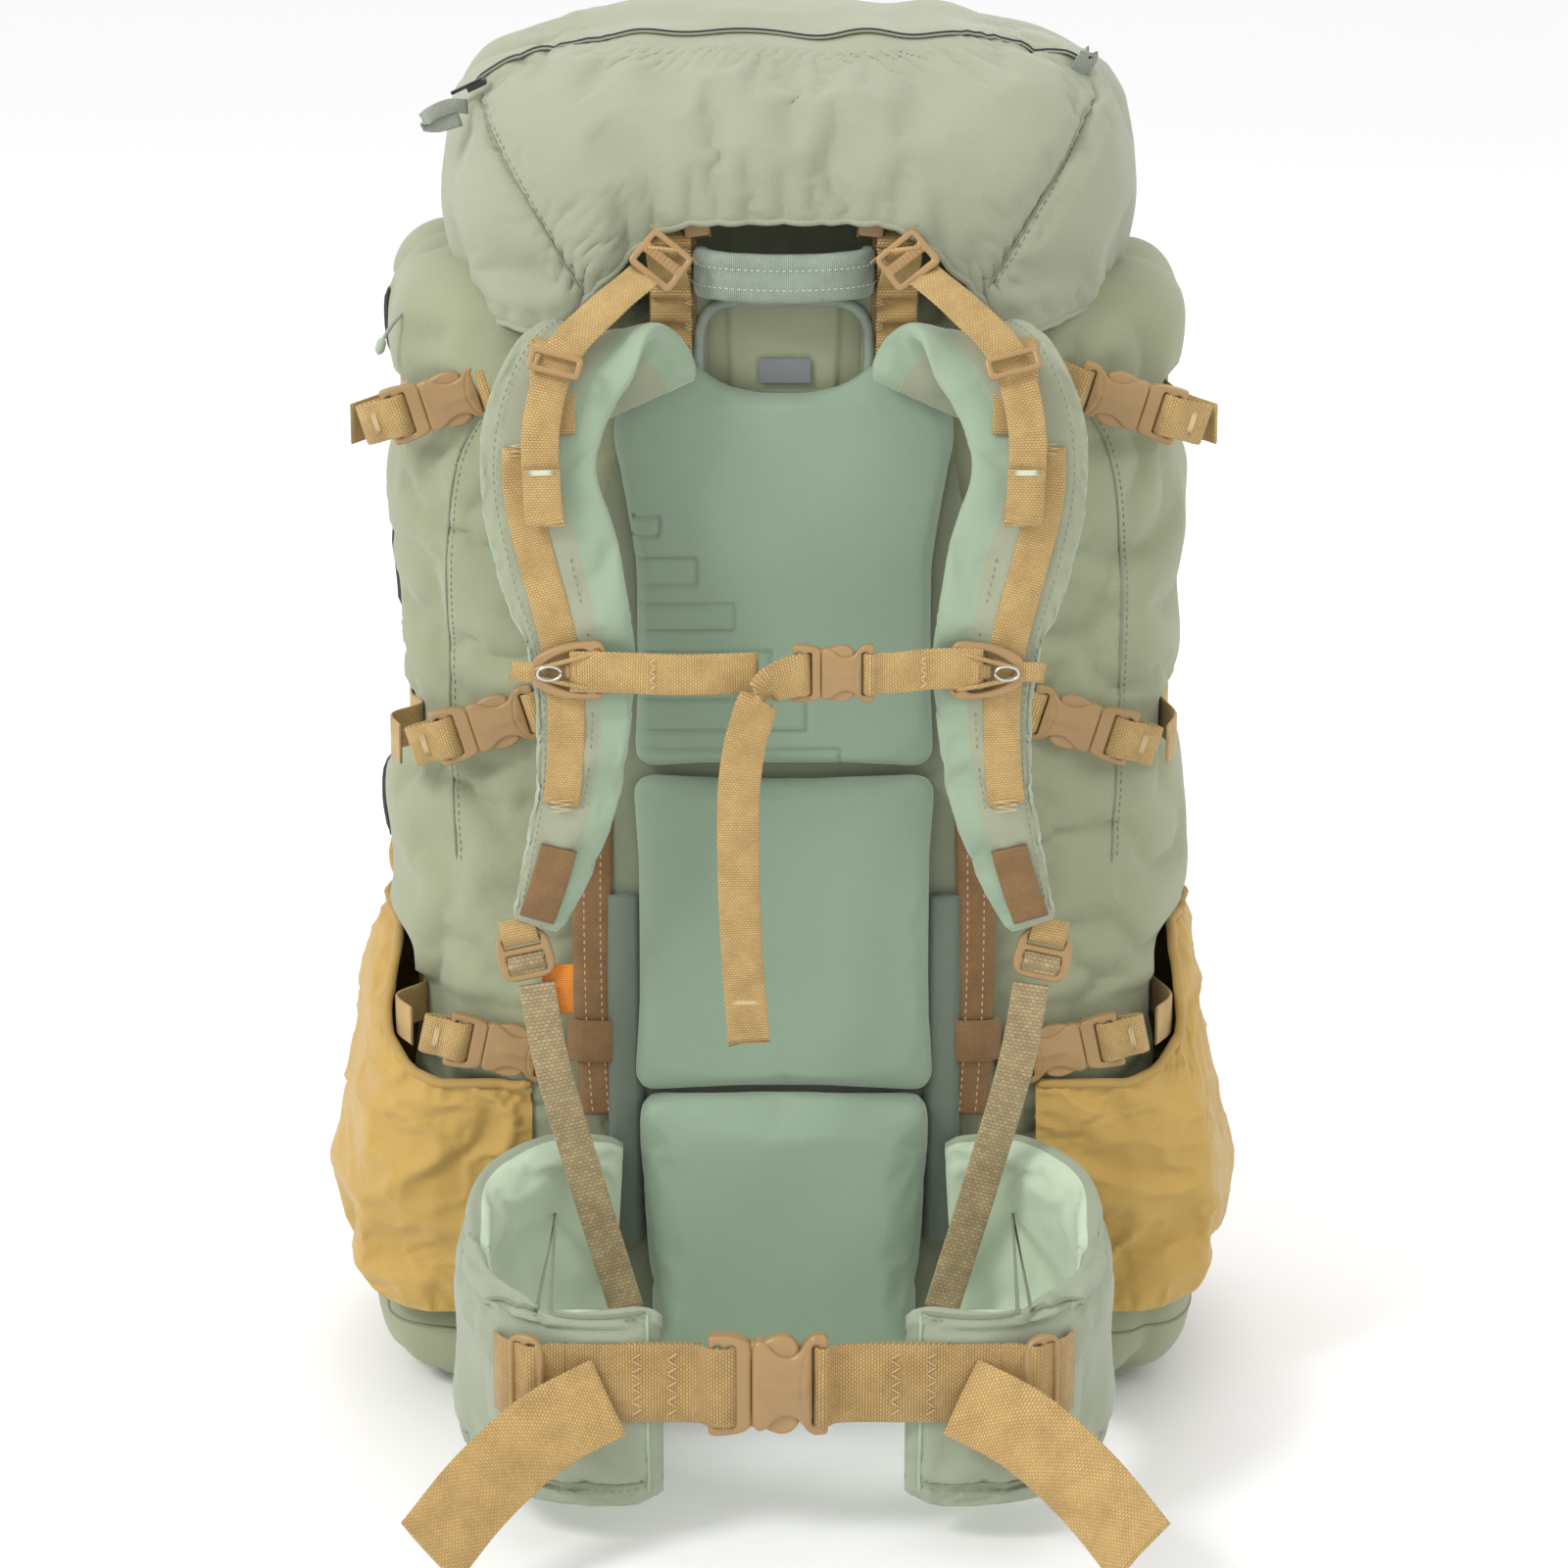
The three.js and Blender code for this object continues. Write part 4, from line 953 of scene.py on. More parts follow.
def make_shoulder_straps():
    for name, keep in LEFT_AND_RIGHT:
        line = smooth(mm(STRAP), 3 * MM)
        _, across, out = frames_along(line, (1, 0, 0))
        width = line[:, 3]
        total_length = lengths(line)[-1]
        along = lengths(line)
        count = 56
        turn = np.linspace(0, 2 * math.pi, count, endpoint=False)
        u = np.sign(np.cos(turn)) * np.abs(np.cos(turn)) ** (2 / 3.2)
        w = np.sign(np.sin(turn)) * np.abs(np.sin(turn)) ** (2 / 2.6)
        mint_from = 0.34
        top = w > 0
        groove = 1.6 * MM * bell(u, mint_from, 0.035) * top + 0.9 * MM * bell(u, -0.86, 0.02) * top
        rise = 1.5 * MM * np.clip(1 - (u / 0.4) ** 2, 0, 1) * top
        ends = np.clip(np.minimum(along, total_length - along) / (9 * MM), 0.0, 1) ** 0.5 * 0.9 + 0.1
        thick = STRAP_THICK / 2 * np.interp(along, [0, 0.05, total_length - 0.05, total_length],
                                            [0.8, 1, 0.95, 0.7])
        sideways = u[None, :] * width[:, None] / 2 * (0.85 + 0.15 * ends[:, None])
        outwards = (w[None, :] * thick[:, None] + rise - groove) * ends[:, None]
        rows = line[:, None, :3] + across[:, None] * sideways[..., None] + out[:, None] * outwards[..., None]
        rows += out[:, None] * (1.1 * MM * ripple(rows, 30 * MM, 51) * 0.7)[..., None]
        held = np.maximum(ease(along, 10 * MM, 0), ease(along, total_length - 10 * MM, total_length))[:, None]
        held = np.maximum(held, 0.9 * bell(u, mint_from, 0.04)[None, :])
        held = np.maximum(held, 0.9 * bell(u, -0.86, 0.04)[None, :])
        held = np.maximum(held, (top & (np.abs(u + 0.3) < 0.4))[None, :] * 0.95)
        rows = cloth_grid(rows, held, wrap=True, pressure=0.8, grow=0.03, cap=3 * MM, bend=4.0)
        columns = []
        for c in range(count):
            mid_u, mid_w = (u[c] + u[(c + 1) % count]) / 2, (w[c] + w[(c + 1) % count]) / 2
            columns.append(1 if mid_u > mint_from or (mid_u < -0.985 and abs(mid_w) < 0.35) else 0)
        strap = grid_mesh(f"shoulder_strap_{name}_cover", mirrored(rows, keep), [STRAP_FACE, MINT], wrap=True,
                          caps=True, columns=columns)
        if keep == -1:
            strap.data.flip_normals()
        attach(strap, "pack")
        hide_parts(f"shoulder_strap_{name}")

        def on_face(share, first, last, height):
            """Places on the strap's face: share is from its outer to its inner edge, -1 to 1."""
            chosen = (along >= first * total_length) & (along <= last * total_length)
            h = thick + height
            return (line[:, :3] + across * (share * width / 2)[:, None]
                    + out * h[:, None])[chosen], across[chosen]

        for share, first, last in ((mint_from - 0.1, 0.03, 0.97), (-0.76, 0.05, 0.97)):
            seam, _ = on_face(share, first, last, 0.9 * MM)
            dashes(mirrored(seam, keep), "pack", THREAD_GREEN)
        strip, sideways = on_face(-0.30, 0.30, 0.80, 2.4 * MM)
        strip_path = np.c_[onto(strap, mirrored(strip, keep) - [0, 0.2, 0], (0, 1, 0), 1.0 * MM),
                           mirrored(sideways, keep)]
        ribbon(f"shoulder_webbing_{name}", strip_path, SHOULDER_WEB, "pack", step=4 * MM, curved=False)
        patch, sideways = on_face(-0.1, 0.86, 0.98, 2.6 * MM)
        patch = onto(strap, mirrored(patch, keep) - [0, 0.2, 0], (0, 1, 0), 1.0 * MM)
        ribbon(f"strap_end_patch_{name}", np.c_[patch, mirrored(sideways, keep)], 22 * MM, "pack",
               SLEEVE_WEB, curved=False)
        for share, spot in ((0.27, 0), (0.78, -1)):
            place = mirrored(strip[spot], keep)
            zigzag(place + np.array([0, -1.6 * MM, 0]), (1, 0, 0), (0, 0, 1), 16 * MM, 8 * MM, 5, "pack",
                   THREAD_TAN)


# ---- hip belt ----
WING = [(-104, -24, 128, 132), (-140, -32, 130, 144), (-172, -58, 122, 142), (-184, -100, 108, 136),
        (-181, -145, 97, 132), (-158, -181, 91, 130), (-118, -193, 90, 130), (-72, -193, 90, 124)]


def make_belt():
    for name, keep in LEFT_AND_RIGHT:
        line = smooth(mm(WING), 4 * MM)
        _, across, out = frames_along(line, (0, 0, 1))
        along = lengths(line)
        full = along[-1]
        count = 64
        turn = np.linspace(0, 2 * math.pi, count, endpoint=False)
        u = np.sign(np.cos(turn)) * np.abs(np.cos(turn)) ** (2 / 3.4)
        w = np.sign(np.sin(turn)) * np.abs(np.sin(turn)) ** (2 / 2.4)
        ends = np.clip(np.minimum(along + 4 * MM, full - along) / (14 * MM), 0.0, 1) ** 0.5 * 0.9 + 0.1
        thick = 10 * MM * np.interp(along, [0, 0.06, full], [0.7, 1.0, 1.05])
        rows = (line[:, None, :3]
                + across[:, None] * (u[None, :] * line[:, 3:4] / 2 * (0.9 + 0.1 * ends[:, None]))[..., None]
                + out[:, None] * (w[None, :] * (thick * ends)[:, None])[..., None])
        groove = bell(np.abs(u), 0.8, 0.03) * 1.6 * MM
        rows -= out[:, None] * (np.sign(w) * groove)[None, :, None]
        rows += out[:, None] * (1.8 * MM * ripple(rows, 46 * MM, 61))[..., None]
        held = np.maximum(ease(along, 12 * MM, 0), ease(along, full - 8 * MM, full))[:, None]
        held = np.maximum(held, 0.9 * bell(np.abs(u), 0.8, 0.04)[None, :])
        held = np.maximum(held, 0.6 * bell(along, full * 0.60, 4 * MM)[:, None])
        outer_sign = 1 if out[len(out) // 2] @ np.array([-1, -1, 0]) > 0 else -1
        under_web = (w * outer_sign > -0.2) & (u > -0.35) & (u < 0.85)
        held = np.maximum(held, under_web[None, :] * ease(along, full * 0.62, full * 0.7)[:, None])
        rows = cloth_grid(rows, held, wrap=True, pressure=1.0, grow=0.045, cap=6 * MM, bend=4.0)
        beside = ease(np.abs(rows[..., 2] - 110 * MM), 27 * MM, 40 * MM)
        rows[..., 1] = np.maximum(rows[..., 1], -205 * MM - 6 * MM * beside)
        outer = w * outer_sign
        cover = (outer > -0.5) & ((outer > 0) | (np.abs(u) > 0.88))
        # faces on the inner side take the lightened mint, which is painted light
        columns = [0 if covered else 1 for covered in cover]
        wing = grid_mesh(f"belt_pad_{name}", mirrored(rows, keep), [BELT_CLOTH, BELT_INNER_PAINTED_LIGHT], wrap=True,
                         caps=True, columns=columns)
        if keep == -1:
            wing.data.flip_normals()
        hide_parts(f"belt_wing_{name}")
        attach(wing, f"belt_{name}")


# ---- moulded hardware ----
def spans(node_name, directions):
    """How far a CAD node reaches along each direction."""
    places = np.array([v.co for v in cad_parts[node_name].data.vertices], float)
    reach = places @ np.array(directions).T
    return reach.min(0), reach.max(0)


def at(seat, along=0.0, across=0.0, out=0.0):
    """A place given in a seat's own directions."""
    origin, a, b, c = seat
    return origin + a * along + b * across + c * out


def seat_at(origin, along, out):
    """An origin with directions along a strap, across it and out of it."""
    along = unit(along)
    out = unit(np.asarray(out, float) - (np.asarray(out, float) @ along) * along)
    return np.asarray(origin, float), along, unit(np.cross(out, along)), out


def rounded_box(low_s, low_t, high_s, high_t, radius=1 * MM):
    corners = [(low_s, low_t), (high_s, low_t), (high_s, high_t), (low_s, high_t)]
    return rounded_outline(corners, radius, 4)


def plate(name, outline, holes, thick, seat, body, material=None, bevel=0.7 * MM, level=0.0, even=0.0,
          shape=None):
    """A moulded piece from outlines of along and across places. shape moves its points."""
    curve = bpy.data.curves.new(name, "CURVE")
    curve.dimensions = "2D"
    curve.fill_mode = "BOTH"
    curve.extrude = thick / 2 - bevel
    curve.bevel_depth = bevel
    curve.bevel_resolution = 2
    curve.offset = -bevel
    for line in [outline, *holes]:
        spline = curve.splines.new("POLY")
        spline.points.add(len(line) - 1)
        for point, (s, t) in zip(spline.points, line):
            point.co = (s, t, 0, 1)
        spline.use_cyclic_u = True
    made = bpy.data.objects.new(name, curve)
    bpy.context.scene.collection.objects.link(made)
    mesh = bpy.data.meshes.new_from_object(made.evaluated_get(bpy.context.evaluated_depsgraph_get()))
    bpy.data.objects.remove(made)
    made = bpy.data.objects.new(name, mesh)
    bpy.context.scene.collection.objects.link(made)
    mesh.materials.clear()
    mesh.materials.append(material or TAN_PLASTIC)
    if even:
        remeshed(made, even)
        mesh = made.data
    local = vertices_of(made)
    if shape is not None:
        local = shape(local)
    local[:, 2] += level
    put_vertices(made, at(seat, local[:, :1], local[:, 1:2], local[:, 2:3]))
    if np.linalg.det(np.array(seat[1:])) < 0:
        mesh.flip_normals()
    for polygon in mesh.polygons:
        polygon.use_smooth = True
    if not even:
        mesh.set_sharp_from_angle(angle=math.radians(38))
    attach(made, body)
    return made


def symmetric(half_profile, length, half):
    """A closed smooth outline from shares of length and half width."""
    one = np.array(half_profile, float) * np.array([length, half])
    fine = smooth(np.c_[one, 0 * one[:, 0]], 1.2 * MM)[:, :2]
    return np.concatenate([fine, (fine * [1, -1])[::-1]])


SOCKET_PROFILE = [(0, 0.66), (0.03, 0.84), (0.10, 0.90), (0.20, 0.84), (0.32, 0.66), (0.46, 0.58),
                  (0.60, 0.66),
                  (0.72, 0.88), (0.80, 0.985), (0.90, 1.0), (0.98, 0.97), (1, 0.9)]
PLUG_PROFILE = [(-1, 0.88), (-0.98, 0.97), (-0.85, 1.0), (-0.55, 0.99), (-0.22, 0.93), (-0.05, 0.84),
                (0, 0.7)]


def side_release(name, plug, socket, origin, along, out, web, bodies):
    """A closed side-release buckle: a waisted socket with the plug's arms in its sides. Returns its seat."""
    seat = seat_at(origin, along, out)
    low, high = spans(socket, seat[1:])
    start = seat[0] @ np.array(seat[1:]).T
    length, half, thick = high[0] - start[0], (high[1] - low[1]) / 2, high[2] - low[2]
    base = start[0] - spans(plug, seat[1:])[0][0]
    bar = length * 0.13
    slot_line = length - bar - 3.4 * MM
    fine = thick / 15

    def domed(points):
        s, t, n = points.T
        crown = 1 - 0.30 * (t / half) ** 2 - 0.22 * bell(s, length * 0.90, length * 0.14)
        spine = 0.07 * thick * bell(t, 0, half * 0.16) * ease(s, length * 0.1, length * 0.3)
        spine *= ease(s, length * 0.78, length * 0.66)
        curve_line = length * 0.64 + (t / half) ** 2 * length * 0.16
        groove = 0.05 * thick * bell(s, curve_line, 0.5 * MM)
        return np.c_[s, t, n * crown + np.sign(n) * (spine - groove) * (np.abs(n) > thick * 0.3)]

    slot = rounded_box(slot_line, -web / 2 - 0.6 * MM, slot_line + 3.4 * MM, web / 2 + 0.6 * MM)
    shell = plate(f"{name}_socket_shell", symmetric(SOCKET_PROFILE, length, half), [slot], thick, seat,
                  bodies[1],
                  bevel=thick * 0.16, even=fine, shape=domed)
    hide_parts(socket)
    bars = [rounded_box(-base + share * base, -web / 2 - 0.4 * MM, -base + share * base + 3.2 * MM,
                        web / 2 + 0.4 * MM)
            for share in (0.15, 0.48)]
    foot = plate(f"{name}_plug_base", symmetric(PLUG_PROFILE, base, half), bars, thick * 0.74, seat,
                 bodies[0],
                 bevel=thick * 0.14, even=fine)
    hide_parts(plug)
    arms = []
    for side in (1, -1):
        arm = smooth(np.array([(-0.06, 0.50, 0), (-0.02, 0.82, 0), (0.14, 0.86, 0), (0.28, 0.95, 0),
                               (0.40, 0.98, 0),
                               (0.52, 0.93, 0), (0.62, 0.74, 0), (0.58, 0.55, 0), (0.30, 0.50, 0)])
                     * [length, half * side, 0], 1.2 * MM)[:, :2]
        arms.append(plate(f"{name}_plug_arm_{'ab'[side < 0]}", arm, [], thick * 0.52, seat, bodies[0],
                          bevel=thick * 0.14))
    return seat, length, base, half, thick


def over_bar(seat, near, far, height, tail, direction):
    """Places in a seat where webbing comes to a bar, goes over it, and turns down into the slot behind it."""
    return [at(seat, near + direction * tail, 0, 0), at(seat, near + direction * 4 * MM, 0, height * 0.2),
            at(seat, near, 0, height * 0.75), at(seat, (near + far) / 2, 0, height),
            at(seat, far, 0, height * 0.8), at(seat, far - direction * 2.4 * MM, 0, 0),
            at(seat, far - direction * 1.6 * MM, 0, -height * 0.8)]


def make_belt_front():
    origin = mm([-19, -208, 110])
    seat, length, base, _, thick = side_release("belt", "belt_plug", "belt_socket", origin, (1, 0, 0),
                                                (0, -1, 0),
                                                   WIDE_WEB, ("belt_left", "belt_right"))
    across = (0, 0, 1)
    high = thick * 0.40 + 1.5 * MM
    left = [(-138 * MM, -206 * MM, 110 * MM), (-100 * MM, -208 * MM, 110 * MM),
            *over_bar(seat, -base, -base * 0.42, thick * 0.37 + 1.6 * MM, 10 * MM, -1)]
    right = [(138 * MM, -206 * MM, 110 * MM), (90 * MM, -208 * MM, 110 * MM),
             *over_bar(seat, length, length * 0.87, high, 10 * MM, 1)]
    for name, path in (("left", left), ("right", right)):
        made = ribbon(f"belt_web_{name}", np.array(path), WIDE_WEB, f"belt_{name}", BELT_WEB, across=across)
        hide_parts(f"belt_webbing_{name}")
        sign = -1 if name == "left" else 1
        for x in (87, 66):
            zigzag(mm([sign * x, -209.6, 110]), (1, 0, 0), (0, 0, 1), 7 * MM, 40 * MM, 9, f"belt_{name}",
                   THREAD_TAN)
        # the doubled end that is sewn back after the buckle
        under = [(sign * 98 * MM, -205.4 * MM, 110 * MM), (sign * 60 * MM, -205.2 * MM, 110 * MM),
                 (sign * 50 * MM, -205.4 * MM, 110 * MM)]
        ribbon(f"belt_web_fold_{name}", np.array(under), WIDE_WEB, f"belt_{name}", BELT_WEB, across=across)


def make_belt_locks():
    for name, keep in LEFT_AND_RIGHT:
        turn = math.radians(24)
        seat = seat_at(mirrored(mm([-152, -206, 110]), keep),
                       (keep * math.cos(turn), -math.sin(turn), 0),
                       (-keep * math.sin(turn), -math.cos(turn), 0))
        outline = smooth(mm([(-11, 20, 0), (-10, 27, 0), (-4, 30, 0), (5, 29, 0), (10, 24, 0),
                             (11.5, 14, 0), (11.5, 0, 0),
                             (11.5, -14, 0), (10, -24, 0), (5, -29, 0), (-4, -30, 0), (-10, -27, 0),
                             (-11, -20, 0),
                             (-11, 0, 0)]), 1.5 * MM)[:, :2]
        holes = [rounded_box(-7.5 * MM, -25.5 * MM, -2.6 * MM, 25.5 * MM),
                 rounded_box(1.6 * MM, -25 * MM, 6.5 * MM, 25 * MM)]
        lock = plate(f"belt_lock_{name}", outline, holes, 5.4 * MM, seat, f"belt_{name}", bevel=1.6 * MM)
        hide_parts(f"belt_ladder_{name}")


def make_side_buckles():
    for level, (x, y, z, lean, _) in SIDE_STRAPS.items():
        lean = math.radians(lean)
        for name, keep in LEFT_AND_RIGHT:
            seat, length, base, _, thick = side_release(
                f"side_{level}_{name}", f"side_plug_{level}_{name}", f"side_socket_{level}_{name}",
                mirrored(mm([-x, y, z]), keep), (keep * math.cos(lean), 0, math.sin(lean)), (0, -1, 0), WEB,
                (f"side_release_{level}_{name}", "pack"))
            high = thick * 0.37 + 1.6 * MM
            across = seat[2]
            # a short anchor loop from the socket to the pack
            anchor = [*over_bar(seat, length, length * 0.87, high, 9 * MM, 1)][1:]
            anchor = [at(seat, length + 13 * MM, 0, -5 * MM), at(seat, length + 8 * MM, 0, -2 * MM), *anchor]
            ribbon(f"side_anchor_{level}_{name}", np.array(anchor), WEB, "pack", across=across)
            # the webbing end that goes through the plug's bars, with its rolled end
            loop = [at(seat, -base * 0.40, 0, -high), at(seat, -base * 0.44, 0, 0.5 * MM),
                    at(seat, -base * 0.62, 0, high),
                    at(seat, -base * 0.86, 0, high * 0.9), at(seat, -base - 3 * MM, 0, 2 * MM),
                    at(seat, -base - 12 * MM, 0, 1.5 * MM), at(seat, -base - 15.5 * MM, 0, -1 * MM),
                    at(seat, -base - 12 * MM, 0, -3.5 * MM), at(seat, -base - 2 * MM, 0, -4 * MM),
                    at(seat, -base * 0.8, 0, -high - 1 * MM)]
            ribbon(f"side_roll_{level}_{name}", np.array(loop), WEB, f"side_release_{level}_{name}",
                   across=across,
                   step=1.5 * MM)
            zigzag(at(seat, -base - 7 * MM, 0, 3 * MM), across, seat[1], 18 * MM, 3 * MM, 6,
                   f"side_release_{level}_{name}", THREAD_TAN)


def make_sternum():
    origin = mm([22, -104, 517])
    seat, length, base, _, thick = side_release("sternum", "sternum_plug", "sternum_socket", origin,
                                                (1, 0, 0),
                                                   (0, -1, 0), WEB, ("sternum_release", "sternum"))
    high = thick * 0.37 + 1.6 * MM
    across = (0, 0, 1)
    low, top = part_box("sternum_webbing_left")
    left = [(low.x - 24 * MM, -101 * MM, 517 * MM), (low.x, -103 * MM, 517 * MM),
            (-60 * MM, -104.5 * MM, 516 * MM),
            (top.x, -104 * MM, 517 * MM)]
    made = ribbon("sternum_web_left", np.array(left), WEB, "sternum", across=across)
    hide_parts("sternum_webbing_left")
    low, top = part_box("sternum_webbing_right")
    right = [(top.x + 22 * MM, -101 * MM, 519 * MM), (top.x - 10 * MM, -103 * MM, 519 * MM),
             *over_bar(seat, length, length * 0.87, high, 12 * MM, 1)]
    made = ribbon("sternum_web_right", np.array(right), WEB, "sternum", across=across)
    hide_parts("sternum_webbing_right")
    tail = [at(seat, -base * 0.36, 0, -high), at(seat, -base * 0.42, 0, 0.6 * MM),
            at(seat, -base * 0.62, 0, high),
            at(seat, -base * 0.95, 0, high + 1.5 * MM)]
    drop = np.array([(-10, -117, 511), (-20, -117.5, 488), (-26, -114, 455), (-27, -110, 400),
                     (-25, -101, 340),
                     (-21, -95, 284)])
    stations = [np.r_[p, 0, 0.1, 1.0] for p in tail]
    sideways = [(0.35, 0, 0.95), (0.85, 0, 0.5), (1, 0, 0.05), (1, 0, 0), (1, 0, 0), (1, 0, 0)]
    stations += [np.r_[p * MM, d] for p, d in zip(drop, sideways)]
    made = ribbon("sternum_tail_web", np.array(stations), WEB, "sternum_release")
    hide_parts("sternum_tail")
    fold = np.array([(-21, -94.4, 284), (-21, -92.8, 282.5), (-21.5, -91.8, 284), (-23, -96, 310)])
    ribbon("sternum_tail_fold", fold * MM, WEB, "sternum_release", step=1.5 * MM)
    zigzag(mm([-22.6, -98.4, 310]), (1, 0, 0), (0, 0, 1), 21 * MM, 3 * MM, 8, "sternum_release", THREAD_TAN)
    zigzag(mm([-77, -106.4, 517]), (1, 0, 0), (0, 0, 1), 3.2 * MM, 19 * MM, 7, "sternum", THREAD_TAN)
    zigzag(mm([82, -106, 518]), (1, 0, 0), (0, 0, 1), 3.2 * MM, 19 * MM, 7, "sternum", THREAD_TAN)
    for name, x, keep in (("left", -126, 1), ("right", 119, -1)):
        make_slider(name, x, keep)


def make_slider(name, x, keep):
    """A sternum slider: a frame round the strap's webbing, two converging elastic cords and a steel ring."""
    seat = seat_at(mm([x, -99, 517]), (keep, 0, 0.03), (0, -1, 0))
    outline = smooth(mm([(-22, 5, 0), (-20, 9, 0), (-8, 15, 0), (8, 17.5, 0), (18, 17, 0), (21, 13, 0),
                         (21.5, 0, 0),
                         (21, -13, 0), (18, -17, 0), (8, -17.5, 0), (-8, -15, 0), (-20, -9, 0), (-22, -5, 0),
                         (-22.5, 0, 0)]), 1.5 * MM)[:, :2]
    window = smooth(mm([(-17, 0, 0), (-15, 4, 0), (-6, 10, 0), (9, 13, 0), (12.5, 10, 0), (13, 0, 0),
                        (12.5, -10, 0),
                        (9, -13, 0), (-6, -10, 0), (-15, -4, 0)]), 1.5 * MM)[:, :2]
    bar = rounded_box(15.5 * MM, -13 * MM, 18.6 * MM, 13 * MM)
    frame_piece = plate(f"sternum_clip_{name}", outline, [window, bar], 5.6 * MM, seat, "sternum",
                        bevel=1.7 * MM)
    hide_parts(f"sternum_slider_{name}")
    plate(f"sternum_tongue_{name}", rounded_box(-3 * MM, -4.6 * MM, 15 * MM, 4.6 * MM, 2 * MM), [], 4 * MM,
                   seat, "sternum", bevel=1.2 * MM, level=0.8 * MM)
    for rib in (0, 4, 8):
        line = [at(seat, rib * MM, -4 * MM, 3.2 * MM), at(seat, rib * MM, 4 * MM, 3.2 * MM)]
        tube(f"sternum_rib_{name}_{rib}", np.array(line), 0.8 * MM, "sternum", TAN_PLASTIC,
             curved=False)
    for side in (1, -1):
        cord = [at(seat, -21 * MM, side * 2.2 * MM, 3.6 * MM), at(seat, -8 * MM, side * 5.4 * MM, 4.2 * MM),
                at(seat, 8 * MM, side * 9.4 * MM, 3.8 * MM), at(seat, 19 * MM, side * 12 * MM, 1 * MM)]
        tube(f"sternum_cord_{name}_{'ab'[side < 0]}", np.array(cord), 1.4 * MM, "sternum", TAN_WEB)
    turn = np.linspace(0, 2 * math.pi, 25)[:-1]
    ring = np.array([at(seat, -12 * MM + 7 * MM * math.cos(a), 4.2 * MM * math.sin(a),
                        5.2 * MM) for a in turn])
    tube(f"sternum_ring_{name}", np.r_[ring, ring[:1]], 0.9 * MM, "sternum", STEEL, curved=False)
    stub = np.array([at(seat, -20 * MM, 0, 1 * MM), at(seat, -28 * MM, 0, 0.5 * MM),
                     at(seat, -35 * MM, 1 * MM, -1 * MM)])
    ribbon(f"sternum_stub_{name}", stub, 12 * MM, "sternum", across=(0, 0, 1))


# ---- webbing ----
def make_webbing():
    for name, keep in LEFT_AND_RIGHT:
        lifter = mm([(-82, -42, 742), (-104, -62, 727), (-130, -83, 702), (-141, -97, 664), (-141, -101, 630),
                     (-139, -100, 608)])
        ribbon(f"load_lifter_{name}_web", mirrored(lifter, keep), SHOULDER_WEB, "pack")
        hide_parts(f"load_lifter_{name}")
        lower = mm([(-150, -64, 310), (-142, -62, 260), (-122, -56, 180), (-98, -50, 92)])
        made = ribbon(f"lower_strap_{name}_web", mirrored(lower, keep), SHOULDER_WEB, "pack", LOWER_WEB)
        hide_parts(f"lower_strap_{name}")
        tail = mm([(-104, -214, 104), (-141, -232, 90), (-177, -264, 68), (-206, -301, 44)])
        made = ribbon(f"belt_tail_{name}_web", mirrored(tail, keep), WIDE_WEB, f"belt_{name}", TAIL_WEB,
                      across=(-0.55 * keep, 0.1, 0.84), cup=-2 * MM)
        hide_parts(f"belt_tail_{name}")


# ---- details that sit on a surface ----
def onto(obj, points, direction, lift=0.0):
    """Places where lines from points along a direction meet a piece, raised along its surface."""
    bpy.context.view_layer.update()
    found = []
    for place in np.asarray(points, float)[:, :3]:
        hit, spot, normal, _ = obj.ray_cast(Vector(place), Vector(direction))
        if hit:
            side = -1 if normal.dot(Vector(direction)) > 0 else 1
            found.append(np.array(spot) + np.array(normal) * lift * side)
    return np.array(found)


def seam(name, obj, points, direction, body, material, thread=None, radius=0.9 * MM, slot="shell"):
    """A narrow piped seam laid over a surface, with a running stitch beside it."""
    line = onto(obj, smooth(mm(points), 4 * MM), direction, radius * 0.2)
    if len(line) > 3:
        tube(name, line, radius, body, material, curved=False, sides=6)
    if thread is not None:
        beside = onto(obj, smooth(mm(points), 4 * MM) + np.array([3.2 * MM, 0, 0]), direction, 0.3 * MM)
        if len(beside) > 3:
            dashes(beside, body, thread)


